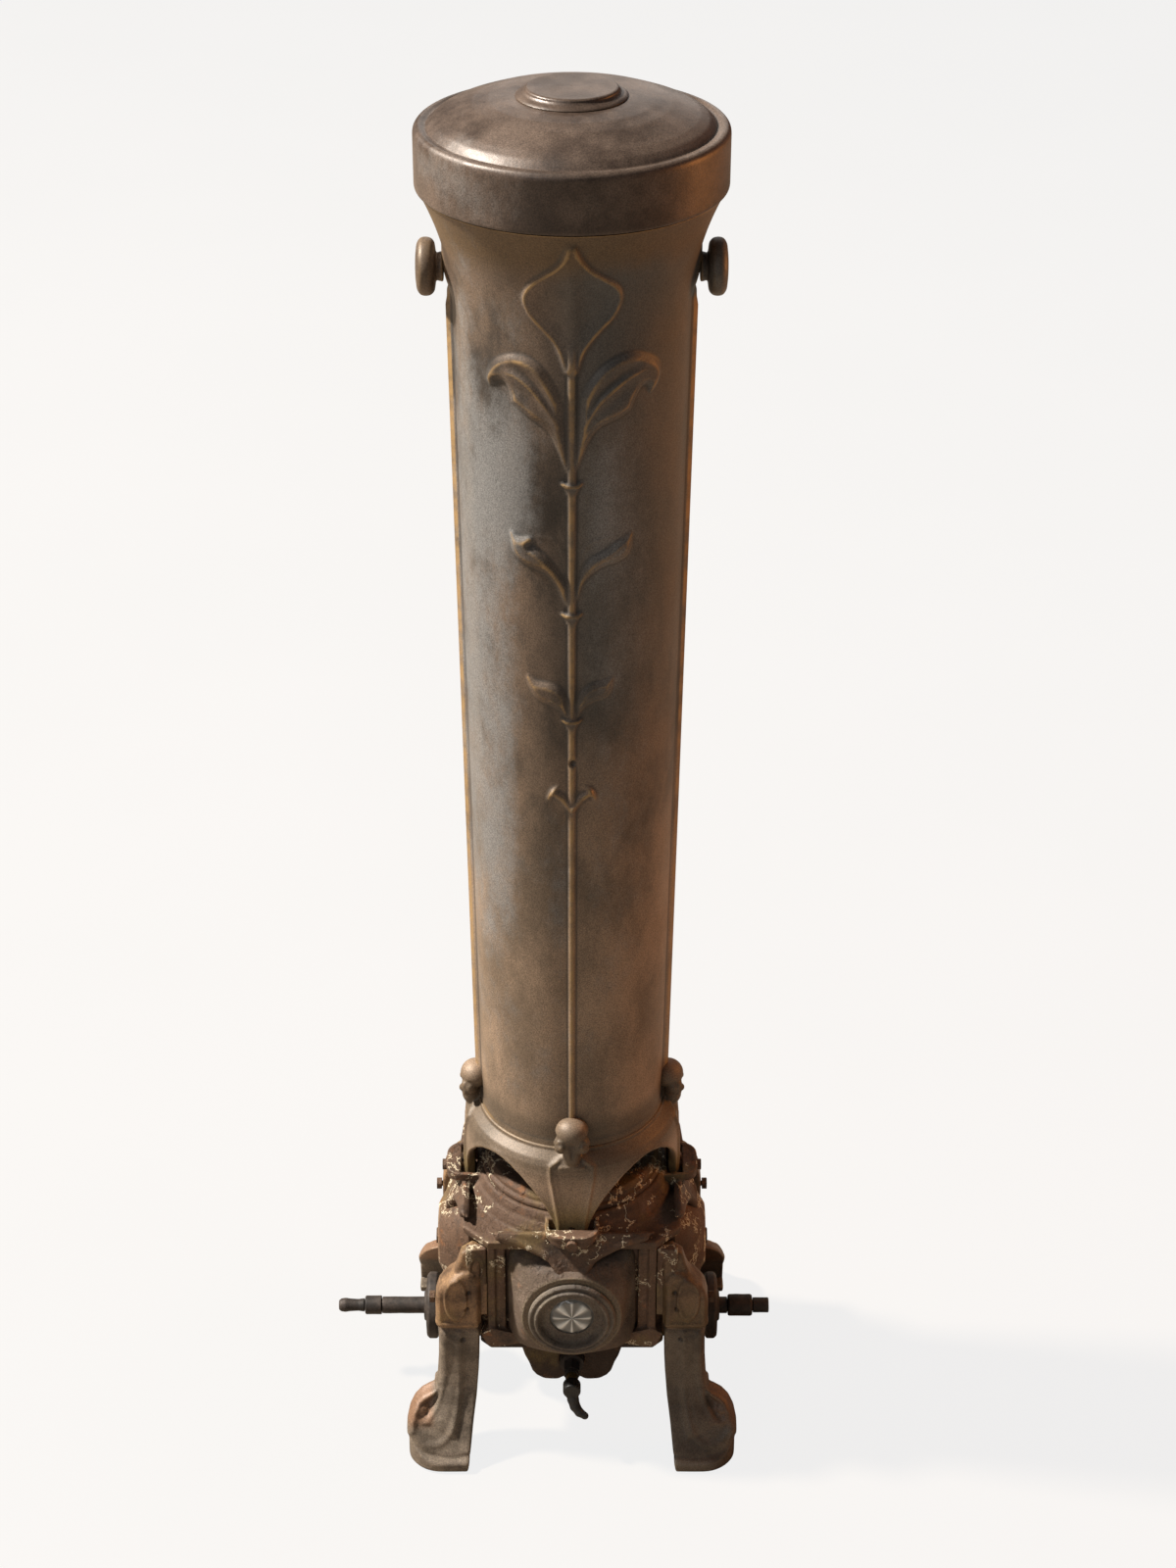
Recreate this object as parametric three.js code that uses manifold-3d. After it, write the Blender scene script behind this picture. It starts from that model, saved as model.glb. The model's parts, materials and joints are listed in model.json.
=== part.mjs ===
// A slender cast-iron column heater of about 1900 that burns gas.
// A tall round column with a plant in relief stands by four tongues on a squat square base.
// The base holds the burner behind a round window, rests on four bracket legs, and takes gas
// from either side. A loose lid covers the column, and a tap sits under the window.
// Millimetres, +Z up, the window faces -Y, the origin is on the floor under the column's axis.

import * as THREE from 'three';
import { mergeVertices } from 'three/addons/utils/BufferGeometryUtils.js';
import Module from 'manifold-3d';

const wasm = await Module();
wasm.setup();

// ---------------------------------------------------------------- driving dimensions

const CLEAR = 0.3;              // gap between neighbouring pieces
const ROUND_BIG = 32;           // facets round the column and the lid
const ROUND_MID = 24;           // round the window, the bowl and the drum
const ROUND_SMALL = 16;         // round knobs and flanges
const ROUND_TINY = 12;          // round pipes and bolts

// column
const COLUMN_FOOT_Z = 188;      // tip of the tongues
const BEAD_Z = 260;             // ring at the foot of the round shaft
const COLUMN_TOP_Z = 940;       // rim that carries the lid
const NECK_Z = COLUMN_TOP_Z - 78; // the shaft starts to flare here
const SHAFT_FOOT_R = 64.5;
const SHAFT_TOP_R = 73.5;
const RIM_R = 93;
const APRON_R = 78;
const COLUMN_WALL = 4.5;
const RIB_R = 3.8;              // half-round pilaster at each side
const STEM_R = 2.8;             // stem of the plant
const NODE_ZS = [-87, -177.5, -255]; // collars on the stem, from the neck, where leaves join
const TONGUE_HALF_W = 12.5;     // at the tip
const VOLUTE_W = 30;
const VOLUTE_R = 11;
const VOLUTE_Z = 274;
const RIB_TOP_Z = NECK_Z + 14;
const KNOB_Z = NECK_Z + 26;
const KNOB_R = 18;
const KNOB_T = 12;
const KNOB_REACH = 95.6;        // outermost point of a knob from the axis
const KNOB_STUD_R = 4;

// lid
const LID_R = 95.3;
const LID_BAND_H = 26;          // upright band of the rim
const LID_LIP_H = 2;            // rounded lower edge of the band
const LID_RISE = 26.7;           // crown of the dome above the band
const LID_WALL = 4;
const LID_SPIGOT_R = 82;        // ring inside the lid that drops into the neck
const LID_SPIGOT_H = 10;
const BUTTON_R = 26.5;
const BUTTON_H = 4.7;

// base
const FRAME_Z0 = 84;
const FRAME_Z1 = 178;
const FRAME_HALF = 69;          // flat side of the box from the axis
const CORNER_CUT = 2 * FRAME_HALF - 8; // |x| + |y| on the bevelled corners
const FRAME_WALL = 6;
const POST_X = FRAME_HALF - 14.5;
const POST_W = 13;
const POST_T = 6.5;
const POST_FOOT_Z = 96;
const PANEL_HALF = FRAME_HALF - 23;
const PANEL_T = 4;
const PLATE_T = 8;              // ledge over the frame
const PLATE_HALF = FRAME_HALF + 9;
const DRUM_H = 16;
const DRUM_TOP_R = 68;
const CROWN_W = 16;             // width of the stepped ring on the drum
const FLUE_R = DRUM_TOP_R - 2 - CROWN_W; // way for the hot gas through the base top
const CROWN_H = 11;
const CUP_HALF_W = 19;
const CUP_REACH = APRON_R + 14;
const CUP_H = 11;

// window
const WINDOW_Z = 130.5;
const WINDOW_Y = FRAME_HALF + 30;            // face of the bezel in front of the axis
const BEZEL_R = 31.5;
const BEZEL_LIP_R = 25.5;
const GLASS_R = 17;
const GLASS_T = 5;

// legs
const LEG_IN_X = FRAME_HALF - 1.3;
const LEG_OUT_X = FRAME_HALF + 29;
const LEG_FRONT_Y = FRAME_HALF + 11;
const LEG_T = 20;
const KNEE_Z0 = 110;
const KNEE_TOP_Z = 158;
const FOOT_OUT_X = FRAME_HALF + 52;
const FOOT_FRONT_Y = FRAME_HALF + 48;
const EAR_Z = 68;
const SOLE_H = 7;
const SOLE_CORNER_R = 26;

// fasteners
const SCREW_R = 2.1;
const SCREW_Z = 195;
const BOLT_HEAD_R = 4.6;
const LEG_BOLT_Y = FRAME_HALF - 3.5;
const LEG_BOLT_Z = 125;
const COVER_BOLT_Z = 128;
const STRAP_T = 4.7;

// gas way
const GAS_Z = 60;
const PIPE_BORE_R = 4.3;
const BOWL_BOTTOM_Z = 37;
const BOWL_HALF = 60;           // flat side of the dish from the axis
const BOWL_WALL = 4;
const ARM_R = 9;
const FLANGE_R = 22.5;
const FLANGE_T = 9;
const FLANGE_X = 110;           // outer face of a side flange
const PIPE_R = 6.35;
const PIPE_LEFT_X = 144;
const COLLAR_R = 7.2;
const COLLAR_L = 13;
const BARB_L = 20;
const BARB_R = 5.4;
const BARB_BORE_R = 2.5;
const PIPE_RIGHT_X = 118;
const COUPLING_R = 8.25;
const COUPLING_L = 19;
const NIPPLE_R = 5.75;
const NIPPLE_L = 12.5;
const BURNER_Z = 128;
const BURNER_R = 36;
const PORT_COUNT = 10;
const MIXER_R = 10;
const TAP_Y = FRAME_HALF - 3;               // seat of the tap in front of the axis
const GLAND_R = 6.5;
const GLAND_L = 10;
const SPINDLE_R = 4.2;
const SPINDLE_END_Y = TAP_Y + 28;
const LEVER_R = 4.6;

// ---------------------------------------------------------------- materials

const paint = (color, roughness, metalness) =>
  new THREE.MeshStandardMaterial({ color, roughness, metalness });
const bronzed = () => paint(0x6b5a49, 0.55, 0.5);
const lidIron = () => paint(0x54443a, 0.42, 0.5);
const rust = () => paint(0x5c4334, 0.85, 0.3);
const legIron = () => paint(0x5e5140, 0.6, 0.4);
const pipeIron = () => paint(0x3d3330, 0.7, 0.6);
const brass = () => paint(0x8a6d38, 0.4, 0.8);
const blackIron = () => paint(0x161412, 0.5, 0.3);
const sheet = () => paint(0x4a4038, 0.7, 0.6);
const glass = () => paint(0xa9aaa4, 0.1, 0.0);

// ---------------------------------------------------------------- solids

// Turns a closed geometry into a solid, whichever way its faces were wound.
function solid(geometry) {
  const g = geometry.clone();
  g.deleteAttribute('normal');
  g.deleteAttribute('uv');
  const merged = mergeVertices(g, 1e-3);
  const p = merged.attributes.position;
  const tris = [];
  let volume = 0;
  const a = new THREE.Vector3(), b = new THREE.Vector3(), c = new THREE.Vector3();
  for (let i = 0; i < merged.index.count; i += 3) {
    const [u, v, w] = [0, 1, 2].map((k) => merged.index.getX(i + k));
    if (u === v || v === w || u === w) continue;
    tris.push(u, v, w);
    a.fromBufferAttribute(p, u);
    b.fromBufferAttribute(p, v);
    c.fromBufferAttribute(p, w);
    volume += a.dot(b.cross(c));
  }
  if (volume < 0) for (let i = 0; i < tris.length; i += 3) [tris[i], tris[i + 1]] = [tris[i + 1], tris[i]];
  return new wasm.Manifold(new wasm.Mesh({
    numProp: 3,
    vertProperties: Float32Array.from(p.array),
    triVerts: Uint32Array.from(tris),
  }));
}

const joined = (...solids) => solids.flat().reduce((whole, next) => whole.add(next));
const cut = (body, ...tools) => tools.flat().reduce((whole, next) => whole.subtract(next), body);

const block = (x0, x1, y0, y1, z0, z1) =>
  solid(new THREE.BoxGeometry(x1 - x0, y1 - y0, z1 - z0)
    .translate((x0 + x1) / 2, (y0 + y1) / 2, (z0 + z1) / 2));

// A round bar along x, y or z from one coordinate to another.
function bar(axis, r0, from, to, sides = 20, at = [0, 0, 0], r1 = r0) {
  const g = new THREE.CylinderGeometry(r1, r0, Math.abs(to - from), sides)
    .translate(0, (from + to) / 2, 0);
  if (axis === 'z') g.rotateX(Math.PI / 2);
  if (axis === 'x') g.rotateZ(-Math.PI / 2);
  return solid(g.translate(...at));
}

// Revolves [radius, height] pairs about +Z.
const turned = (profile, sides) =>
  solid(new THREE.LatheGeometry(profile.map(([r, z]) => new THREE.Vector2(r, z)), sides)
    .rotateX(Math.PI / 2));

// The same, about the +Y or +X axis through a point, with the pairs' heights along that axis.
const turnedOnto = (direction, profile, sides, at) => {
  const turn = new THREE.Quaternion().setFromUnitVectors(new THREE.Vector3(0, 1, 0), direction);
  const points = profile.map(([r, h]) => new THREE.Vector2(r, h));
  return solid(new THREE.LatheGeometry(points, sides).applyQuaternion(turn).translate(...at));
};

// Extrudes an outline drawn in x and z from y0 to y1.
function slabXZ(shape, y0, y1, options = {}) {
  const bevel = options.bevel ?? 0;
  const g = new THREE.ExtrudeGeometry(shape, {
    depth: y1 - y0 - 2 * bevel, bevelEnabled: bevel > 0, bevelThickness: bevel, bevelSize: bevel,
    bevelOffset: -bevel, bevelSegments: 2, curveSegments: options.curve ?? 8, steps: 1,
  });
  return solid(g.rotateX(Math.PI / 2).translate(0, y1 - bevel, 0));
}

// Extrudes an outline drawn in x and y from z0 to z1.
const slabXY = (shape, z0, z1, curve = 8) =>
  solid(new THREE.ExtrudeGeometry(shape, { depth: z1 - z0, bevelEnabled: false, curveSegments: curve })
    .translate(0, 0, z0));

const outline = (points) => new THREE.Shape(points.map(([x, y]) => new THREE.Vector2(x, y)));

// A square with its four corners cut along |x| + |y| = cutSum.
const octagon = (half, cutSum) => {
  const near = cutSum - half;
  return outline([[half, -near], [half, near], [near, half], [-near, half],
    [-half, near], [-half, -near], [-near, -half], [near, -half]]);
};

// Skins a stack of rings that all hold the same number of points, and closes both ends.
function loft(rings) {
  const n = rings[0].length;
  const position = rings.flat(2);
  const index = [];
  for (let k = 0; k < rings.length - 1; k += 1) {
    for (let i = 0; i < n; i += 1) {
      const a = k * n + i, b = k * n + (i + 1) % n;
      index.push(a, b, a + n, b, b + n, a + n);
    }
  }
  for (const [ring, flip] of [[0, true], [rings.length - 1, false]]) {
    const centre = position.length / 3;
    const mid = [0, 1, 2].map((k) => rings[ring].reduce((s, q) => s + q[k], 0) / n);
    position.push(...mid);
    for (let i = 0; i < n; i += 1) {
      const a = ring * n + i, b = ring * n + (i + 1) % n;
      index.push(centre, flip ? b : a, flip ? a : b);
    }
  }
  const g = new THREE.BufferGeometry();
  g.setAttribute('position', new THREE.Float32BufferAttribute(position, 3));
  g.setIndex(index);
  return solid(g);
}

// Sweeps a flattened round section along a smooth curve. width and height give the half sizes
// of the section at 0..1 of the way; height is measured along the outward direction.
function swept(points, width, height, outward, steps = 12, sides = 8) {
  const curve = new THREE.CatmullRomCurve3(points.map((q) => new THREE.Vector3(...q)));
  const rings = [];
  for (let k = 0; k <= steps; k += 1) {
    const t = k / steps;
    const c = curve.getPointAt(t), along = curve.getTangentAt(t);
    const across = new THREE.Vector3().crossVectors(along, outward(c)).normalize();
    const up = new THREE.Vector3().crossVectors(across, along).normalize();
    rings.push(Array.from({ length: sides }, (_, i) => {
      const angle = (2 * Math.PI * i) / sides;
      return c.clone().addScaledVector(across, width(t) * Math.cos(angle))
        .addScaledVector(up, height(t) * Math.sin(angle)).toArray();
    }));
  }
  return loft(rings);
}

const along = (side) => new THREE.Vector3(side, 0, 0);
const spun = (body, degrees) => body.rotate([0, 0, degrees]);
const quarters = [0, 90, 180, 270];
const fourTimes = (body, first = 0) => quarters.map((q) => spun(body, first + q));
const sides = [['front', 0], ['right', 90], ['rear', 180], ['left', 270]];

const group = new THREE.Group();
group.name = 'column_heater';

function add(name, body, material) {
  const { vertProperties, triVerts } = body.getMesh();
  const g = new THREE.BufferGeometry();
  g.setAttribute('position', new THREE.BufferAttribute(vertProperties, 3));
  g.setIndex(new THREE.BufferAttribute(triVerts, 1));
  g.computeVertexNormals();
  const mesh = new THREE.Mesh(g, material);
  mesh.name = name;
  group.add(mesh);
}

// ---------------------------------------------------------------- column

const radial = (c) => new THREE.Vector3(c.x, c.y, 0).normalize();
const facingOut = () => new THREE.Vector3(0, -1, 0);
const shaftR = (z) => {
  const t = (z - BEAD_Z) / (NECK_Z - BEAD_Z);
  const straight = SHAFT_FOOT_R + (SHAFT_TOP_R - SHAFT_FOOT_R) * Math.min(t, 1);
  const u = Math.max(0, (z - NECK_Z) / (COLUMN_TOP_Z - NECK_Z));
  return straight + (RIM_R - SHAFT_TOP_R) * u * u;
};
const KNOB_BOSS_R = 10.5;
const KNOB_SEAT_X = shaftR(KNOB_Z + KNOB_BOSS_R) + 0.5; // flat end of the boss under a knob
// A point of the shaft's skin: arc is measured round the skin from the front line.
const onShaft = (arc, z, lift = 0) => {
  const r = shaftR(z) + lift;
  const angle = arc / shaftR(z);
  return [r * Math.sin(angle), -r * Math.cos(angle), z];
};

function columnBody() {
  const outer = [[APRON_R - 2, COLUMN_FOOT_Z], [APRON_R, 212], [APRON_R - 0.8, 243],
    [APRON_R - 3, 253], [SHAFT_FOOT_R + 4, 256.5], [SHAFT_FOOT_R + 1.4, BEAD_Z - 2.5],
    [SHAFT_FOOT_R + 2.4, BEAD_Z], [SHAFT_FOOT_R + 1.4, BEAD_Z + 2.5], [shaftR(264), 264]];
  for (let k = 0; k <= 4; k += 1) {
    const z = NECK_Z + ((COLUMN_TOP_Z - 4 - NECK_Z) * k) / 4;
    outer.push([shaftR(z), z]);
  }
  outer.push([RIM_R, COLUMN_TOP_Z]);
  const inner = [[RIM_R - COLUMN_WALL, COLUMN_TOP_Z],
    [shaftR(NECK_Z + 52) - COLUMN_WALL, NECK_Z + 52], [shaftR(KNOB_Z) - COLUMN_WALL, KNOB_Z],
    [SHAFT_TOP_R - COLUMN_WALL, NECK_Z], [SHAFT_FOOT_R - COLUMN_WALL, 258],
    [SHAFT_FOOT_R + 3, 252], [APRON_R - 5.5, 248.5], [APRON_R - COLUMN_WALL, 240],
    [APRON_R - COLUMN_WALL, 212], [APRON_R - 2 - COLUMN_WALL, COLUMN_FOOT_Z]];
  return turned([...outer, ...inner, outer[0]], ROUND_BIG);
}

// The arched opening between two tongues, seen square on.
function archCutter() {
  const half = (APRON_R - TONGUE_HALF_W) * Math.SQRT1_2;
  const shape = new THREE.Shape();
  shape.moveTo(-half - 2, COLUMN_FOOT_Z - 10);
  shape.lineTo(-half, COLUMN_FOOT_Z + 4);
  shape.quadraticCurveTo(-half + 6, 222, -half + 20, 232);
  shape.quadraticCurveTo(-18, 243, 0, 243.5);
  shape.quadraticCurveTo(18, 243, half - 20, 232);
  shape.quadraticCurveTo(half - 6, 222, half, COLUMN_FOOT_Z + 4);
  shape.lineTo(half + 2, COLUMN_FOOT_Z - 10);
  return slabXZ(shape, -110, -30, { curve: 3 });
}

// A rolled scroll over each tongue: thin in the middle, with a round eye at each end.
function volute() {
  const y = -(SHAFT_FOOT_R + APRON_R) / 2 - 0.3;
  const depth = (APRON_R - SHAFT_FOOT_R) / 2 + 3.2;
  const end = VOLUTE_W / 2;
  const swell = (t) => 1 - 0.45 * Math.exp(-(((t - 0.5) / 0.16) ** 2)) - 0.5 * (2 * t - 1) ** 8;
  return swept([[-end, y, VOLUTE_Z], [0, y, VOLUTE_Z], [end, y, VOLUTE_Z]],
    (t) => (VOLUTE_R + 2) * swell(t), (t) => depth * swell(t), facingOut, 6, 8);
}

// A raised line down both edges of a tongue.
function tongueFrame() {
  const rail = (side) => swept([[side * 17, -APRON_R + 1.2, 247], [side * 15, -APRON_R + 0.3, 228],
    [side * 10.8, -APRON_R + 2.2, 192]], () => 1.6, () => 2, radial, 2, 4);
  return joined(rail(-1), rail(1));
}

// One leaf: a blade that leaves the stem, swells and ends in a point.
function leaf(route, halfWidth, lift, steps) {
  const blade = (t) => halfWidth * Math.sin(Math.PI * Math.min(0.97, 0.08 + 0.9 * t)) + 0.5;
  return swept(route.map(([arc, z]) => onShaft(arc, z, 0.6)), blade,
    (t) => lift * Math.sin(Math.PI * (0.15 + 0.8 * t)) + 0.6, radial, steps, 4);
}

// The plant up the front: stem, bud, three pairs of leaves, three nodes and a pair of buds.
// Its points are an arc from the front line and a height from the neck.
function plant() {
  const onPlant = ([arc, z]) => onShaft(arc, NECK_Z + z);
  const stem = swept([onShaft(0, VOLUTE_Z + 6), onPlant([0, -302]), onPlant([0, -2])],
    (t) => STEM_R - 0.6 + 0.9 * t, (t) => STEM_R - 0.4 + 0.6 * t, radial, 2, 5);
  const tip = swept([[0, -4], [0, 32], [0, 66]].map(onPlant),
    (t) => 3.2 - 1.2 * t, () => 2.6, radial, 2, 5);
  const pieces = [stem, tip];
  for (const side of [-1, 1]) {
    const handed = (route) => route.map(([arc, z]) => [side * arc, NECK_Z + z]);
    const bud = handed([[0, -6], [8, 3], [16.5, 13], [24.5, 22], [29, 31], [28, 38],
      [21.8, 49], [10, 60], [1, 66]]).map(([arc, z]) => onShaft(arc, z));
    pieces.push(swept(bud, () => 2, () => 2.3, radial, 7, 4));
    pieces.push(leaf(handed([[3, -72], [10, -52], [20, -35], [34, -20], [46, -13], [55, -21],
      [53, -29]]), 6.5, 3, 5));
    pieces.push(leaf(handed([[3, -158], [11, -143], [22, -132], [31, -130], [39, -126]]), 6, 3.2, 4));
    pieces.push(leaf(handed([[3, -250], [9.5, -238], [18, -230.5], [28, -225]]), 5, 2.8, 3));
    pieces.push(leaf(handed([[1, -317], [6, -313], [11, -308], [16, -304]]), 3.4, 2.8, 3));
  }
  for (const z of NODE_ZS) {
    const collar = new THREE.SphereGeometry(1, 6, 4).scale(7.5, 4.2, 3.2);
    pieces.push(solid(collar.translate(...onPlant([0, z]))));
  }
  return joined(pieces);
}

function columnShell() {
  const ribHalf = () => RIB_R;
  const sideRib = (side) => swept([[side * shaftR(282), 0, 282], [side * shaftR(570), 0, 570],
    [side * shaftR(NECK_Z), 0, NECK_Z], [side * (shaftR(RIB_TOP_Z) - 2), 0, RIB_TOP_Z]],
  ribHalf, ribHalf, radial, 3, 6);
  const backRib = swept([[0, shaftR(282), 282], [0, shaftR(NECK_Z), NECK_Z],
    [0, shaftR(NECK_Z + 38) - 1, NECK_Z + 38]], ribHalf, ribHalf, radial, 3, 6);
  const boss = (side) => bar('x', KNOB_BOSS_R, side * (shaftR(KNOB_Z) - 3), side * KNOB_SEAT_X,
    ROUND_SMALL, [0, 0, KNOB_Z]);
  const studHole = (side) => bar('x', KNOB_STUD_R + CLEAR, side * 55, side * 100, ROUND_TINY,
    [0, 0, KNOB_Z]);
  const screwHole = bar('y', SCREW_R + CLEAR, -100, -60, ROUND_TINY, [0, 0, SCREW_Z]);
  const arched = cut(columnBody(), fourTimes(archCutter(), 45));
  const whole = joined(arched, fourTimes(volute()), fourTimes(tongueFrame()), sideRib(-1),
    sideRib(1), backRib, plant(), boss(-1), boss(1));
  return cut(whole, studHole(-1), studHole(1), fourTimes(screwHole));
}

function knob(side) {
  const tail = shaftR(KNOB_Z) - COLUMN_WALL - 8;
  const seat = KNOB_SEAT_X + CLEAR;
  const disc = KNOB_REACH - KNOB_T;
  return turnedOnto(along(side), [[0, tail], [KNOB_STUD_R, tail], [KNOB_STUD_R, seat], [9.5, seat],
    [8.6, (seat + disc) / 2], [10, disc], [KNOB_R - 3, disc + 0.6], [KNOB_R, disc + 3.6],
    [KNOB_R, KNOB_REACH - 4.6], [KNOB_R - 3, KNOB_REACH - 1.2], [KNOB_R - 8, KNOB_REACH],
    [0, KNOB_REACH]], ROUND_SMALL, [0, 0, KNOB_Z]);
}

// ---------------------------------------------------------------- lid

const LID_Z0 = COLUMN_TOP_Z + CLEAR;
const LID_BAND_Z = LID_Z0 + LID_LIP_H;
const LID_EDGE_Z = LID_BAND_Z + LID_BAND_H;
const LID_CROWN_Z = LID_EDGE_Z + LID_RISE;

function lid() {
  const outer = [[RIM_R - 0.5, LID_Z0], [LID_R - 0.6, LID_Z0 + 0.5], [LID_R, LID_BAND_Z],
    [LID_R, LID_EDGE_Z], [LID_R - 1.4, LID_EDGE_Z + 4.4],
    [LID_R - 5, LID_EDGE_Z + 7.4], [LID_R - 8.6, LID_EDGE_Z + 6.6], [LID_R - 15, LID_EDGE_Z + 11.4],
    [65, LID_EDGE_Z + 20.8], [48, LID_CROWN_Z - 1.4], [32, LID_CROWN_Z],
    [KNOB_STUD_R + CLEAR, LID_CROWN_Z]];
  const floor = LID_Z0 + 6;
  const spigotIn = LID_SPIGOT_R - 3;
  const inner = [[KNOB_STUD_R + CLEAR, LID_CROWN_Z - LID_WALL], [34, LID_CROWN_Z - LID_WALL - 1],
    [LID_R - 18, LID_EDGE_Z + 4], [LID_R - LID_WALL, LID_EDGE_Z - 2],
    [LID_R - LID_WALL, floor], [spigotIn, floor], [spigotIn, LID_Z0 - LID_SPIGOT_H],
    [LID_SPIGOT_R, LID_Z0 - LID_SPIGOT_H], [LID_SPIGOT_R, LID_Z0]];
  return turned([...outer, ...inner, outer[0]], ROUND_BIG);
}

// ---------------------------------------------------------------- base

const windowHole = (r) => bar('y', r, -130, -40, ROUND_MID, [0, 0, WINDOW_Z]);
const CREST_Y = WINDOW_Y - 4;   // flat crest of the swollen covers
const WINDOW_CREST_R = BEZEL_R + 1.5;
const COVER_CREST_R = 22;
const bulgeStages = [[0, 0, 8], [0.12, 0, 8], [0.5, 0.34, 5], [0.82, 0.74, 3], [1, 1, 2]];

// A block that swells from a rectangle on the frame to a round crest in front of it. Each stage
// gives how far out it lies, how round it is and the power of its superellipse; grow thickens it.
function bulge(crestR, stages, points, grow = 0) {
  const middle = (FRAME_Z0 + FRAME_Z1) / 2;
  const halfHeight = (FRAME_Z1 - FRAME_Z0) / 2 - 2 + grow;
  const foot = FRAME_HALF + CLEAR;
  const rings = stages.map(([out, round, power]) => {
    const y = -foot - (CREST_Y - foot) * out - (out > 0 ? grow : 0);
    const a = (PANEL_HALF + grow) * (1 - round) + (crestR + grow) * round;
    const b = halfHeight * (1 - round) + (crestR + grow) * round;
    const z = middle * (1 - round) + WINDOW_Z * round;
    return Array.from({ length: points }, (_, i) => {
      const angle = (2 * Math.PI * i) / points;
      const c = Math.cos(angle);
      const d = Math.sin(angle);
      const k = (Math.abs(c) ** power + Math.abs(d) ** power) ** (-1 / power);
      return [a * c * k, y, z + b * d * k];
    });
  });
  return loft(rings);
}

const hollowStages = bulgeStages.filter((_, k) => k % 2 === 0);
const bulgedShell = (crestR) => cut(bulge(crestR, bulgeStages, 24),
  bulge(crestR, hollowStages, 16, -PANEL_T));
const windowPanel = () => cut(bulgedShell(WINDOW_CREST_R), windowHole(BEZEL_LIP_R + CLEAR));
const blankCover = () => cut(bulgedShell(COVER_CREST_R), coverBoltHole());

// A flat pilaster at each end of every face of the frame, rounded at its foot.
function framePost(side) {
  const x0 = side * POST_X - POST_W / 2;
  const x1 = side * POST_X + POST_W / 2;
  const footZ = POST_FOOT_Z + POST_W / 2;
  const shape = new THREE.Shape();
  shape.moveTo(x0, FRAME_Z1);
  shape.lineTo(x0, footZ);
  shape.absarc(side * POST_X, footZ, POST_W / 2, Math.PI, 2 * Math.PI, false);
  shape.lineTo(x1, FRAME_Z1);
  return slabXZ(shape, -FRAME_HALF - POST_T, -FRAME_HALF + 2, { curve: 4 });
}

function baseFrame() {
  const wall = cut(slabXY(octagon(FRAME_HALF, CORNER_CUT), FRAME_Z0, FRAME_Z1),
    slabXY(octagon(FRAME_HALF - FRAME_WALL, CORNER_CUT - FRAME_WALL * 1.5), FRAME_Z0 - 1,
      FRAME_Z1 + 1));
  const opening = block(-PANEL_HALF + 5, PANEL_HALF - 5, -90, -50, FRAME_Z0 + 8, FRAME_Z1 - 8);
  const posts = joined(framePost(-1), framePost(1));
  return cut(joined(cut(wall, fourTimes(opening)), fourTimes(posts)), atCorners(legBoltHole()));
}

// The pointed apron that hangs from the ledge over each cover.
function lobe() {
  const shape = new THREE.Shape();
  shape.moveTo(-34, 0);
  shape.bezierCurveTo(-20, -2, -14, -8, -8, -18);
  shape.quadraticCurveTo(-4, -25, 0, -26);
  shape.quadraticCurveTo(4, -25, 8, -18);
  shape.bezierCurveTo(14, -8, 20, -2, 34, 0);
  shape.lineTo(34, 7);
  shape.lineTo(-34, 7);
  return slabXZ(shape, -3, 3, { curve: 2 }).rotate([-24, 0, 0])
    .translate([0, -PLATE_HALF - 3.5, FRAME_Z1 + 4]);
}

// The cup on each side of the drum that a tongue of the column stands in.
function cupOutline() {
  const front = -CUP_REACH + 0.5;
  const shape = new THREE.Shape();
  shape.moveTo(-CUP_HALF_W, -60);
  shape.lineTo(-CUP_HALF_W, front + 8.5);
  shape.quadraticCurveTo(-CUP_HALF_W, front, -CUP_HALF_W + 9, front);
  shape.lineTo(CUP_HALF_W - 9, front);
  shape.quadraticCurveTo(CUP_HALF_W, front, CUP_HALF_W, front + 8.5);
  shape.lineTo(CUP_HALF_W, -60);
  return shape;
}

const PLATE_Z = FRAME_Z1 + CLEAR;
const LEDGE_Z = PLATE_Z + PLATE_T;
const DRUM_Z = LEDGE_Z + DRUM_H;

function baseTop() {
  const plate = slabXY(octagon(PLATE_HALF, CORNER_CUT + 8), PLATE_Z, LEDGE_Z);
  const drum = turned([[0, LEDGE_Z - 1], [DRUM_TOP_R + 9, LEDGE_Z - 1], [DRUM_TOP_R + 8, LEDGE_Z + 4],
    [DRUM_TOP_R + 2, LEDGE_Z + 11], [DRUM_TOP_R, DRUM_Z], [0, DRUM_Z]], ROUND_MID);
  const cup = slabXY(cupOutline(), LEDGE_Z - 2, LEDGE_Z + CUP_H, 3);
  const panelRoom = bulge(WINDOW_CREST_R, bulgeStages, 24, CLEAR);
  const pocketHalf = TONGUE_HALF_W + 4;
  const pocket = block(-pocketHalf, pocketHalf, -APRON_R - 3, -APRON_R + COLUMN_WALL + 4,
    COLUMN_FOOT_Z - CLEAR, DRUM_Z + 20);
  const screwHole = bar('y', SCREW_R + CLEAR, -CUP_REACH - 5, -60, ROUND_TINY, [0, 0, SCREW_Z]);
  const whole = joined(plate, drum, fourTimes(cup), fourTimes(lobe()));
  const flueHole = bar('z', FLUE_R, PLATE_Z - 1, DRUM_Z + 1, ROUND_MID);
  return cut(whole, fourTimes(panelRoom), fourTimes(pocket), fourTimes(screwHole), flueHole);
}

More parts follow.
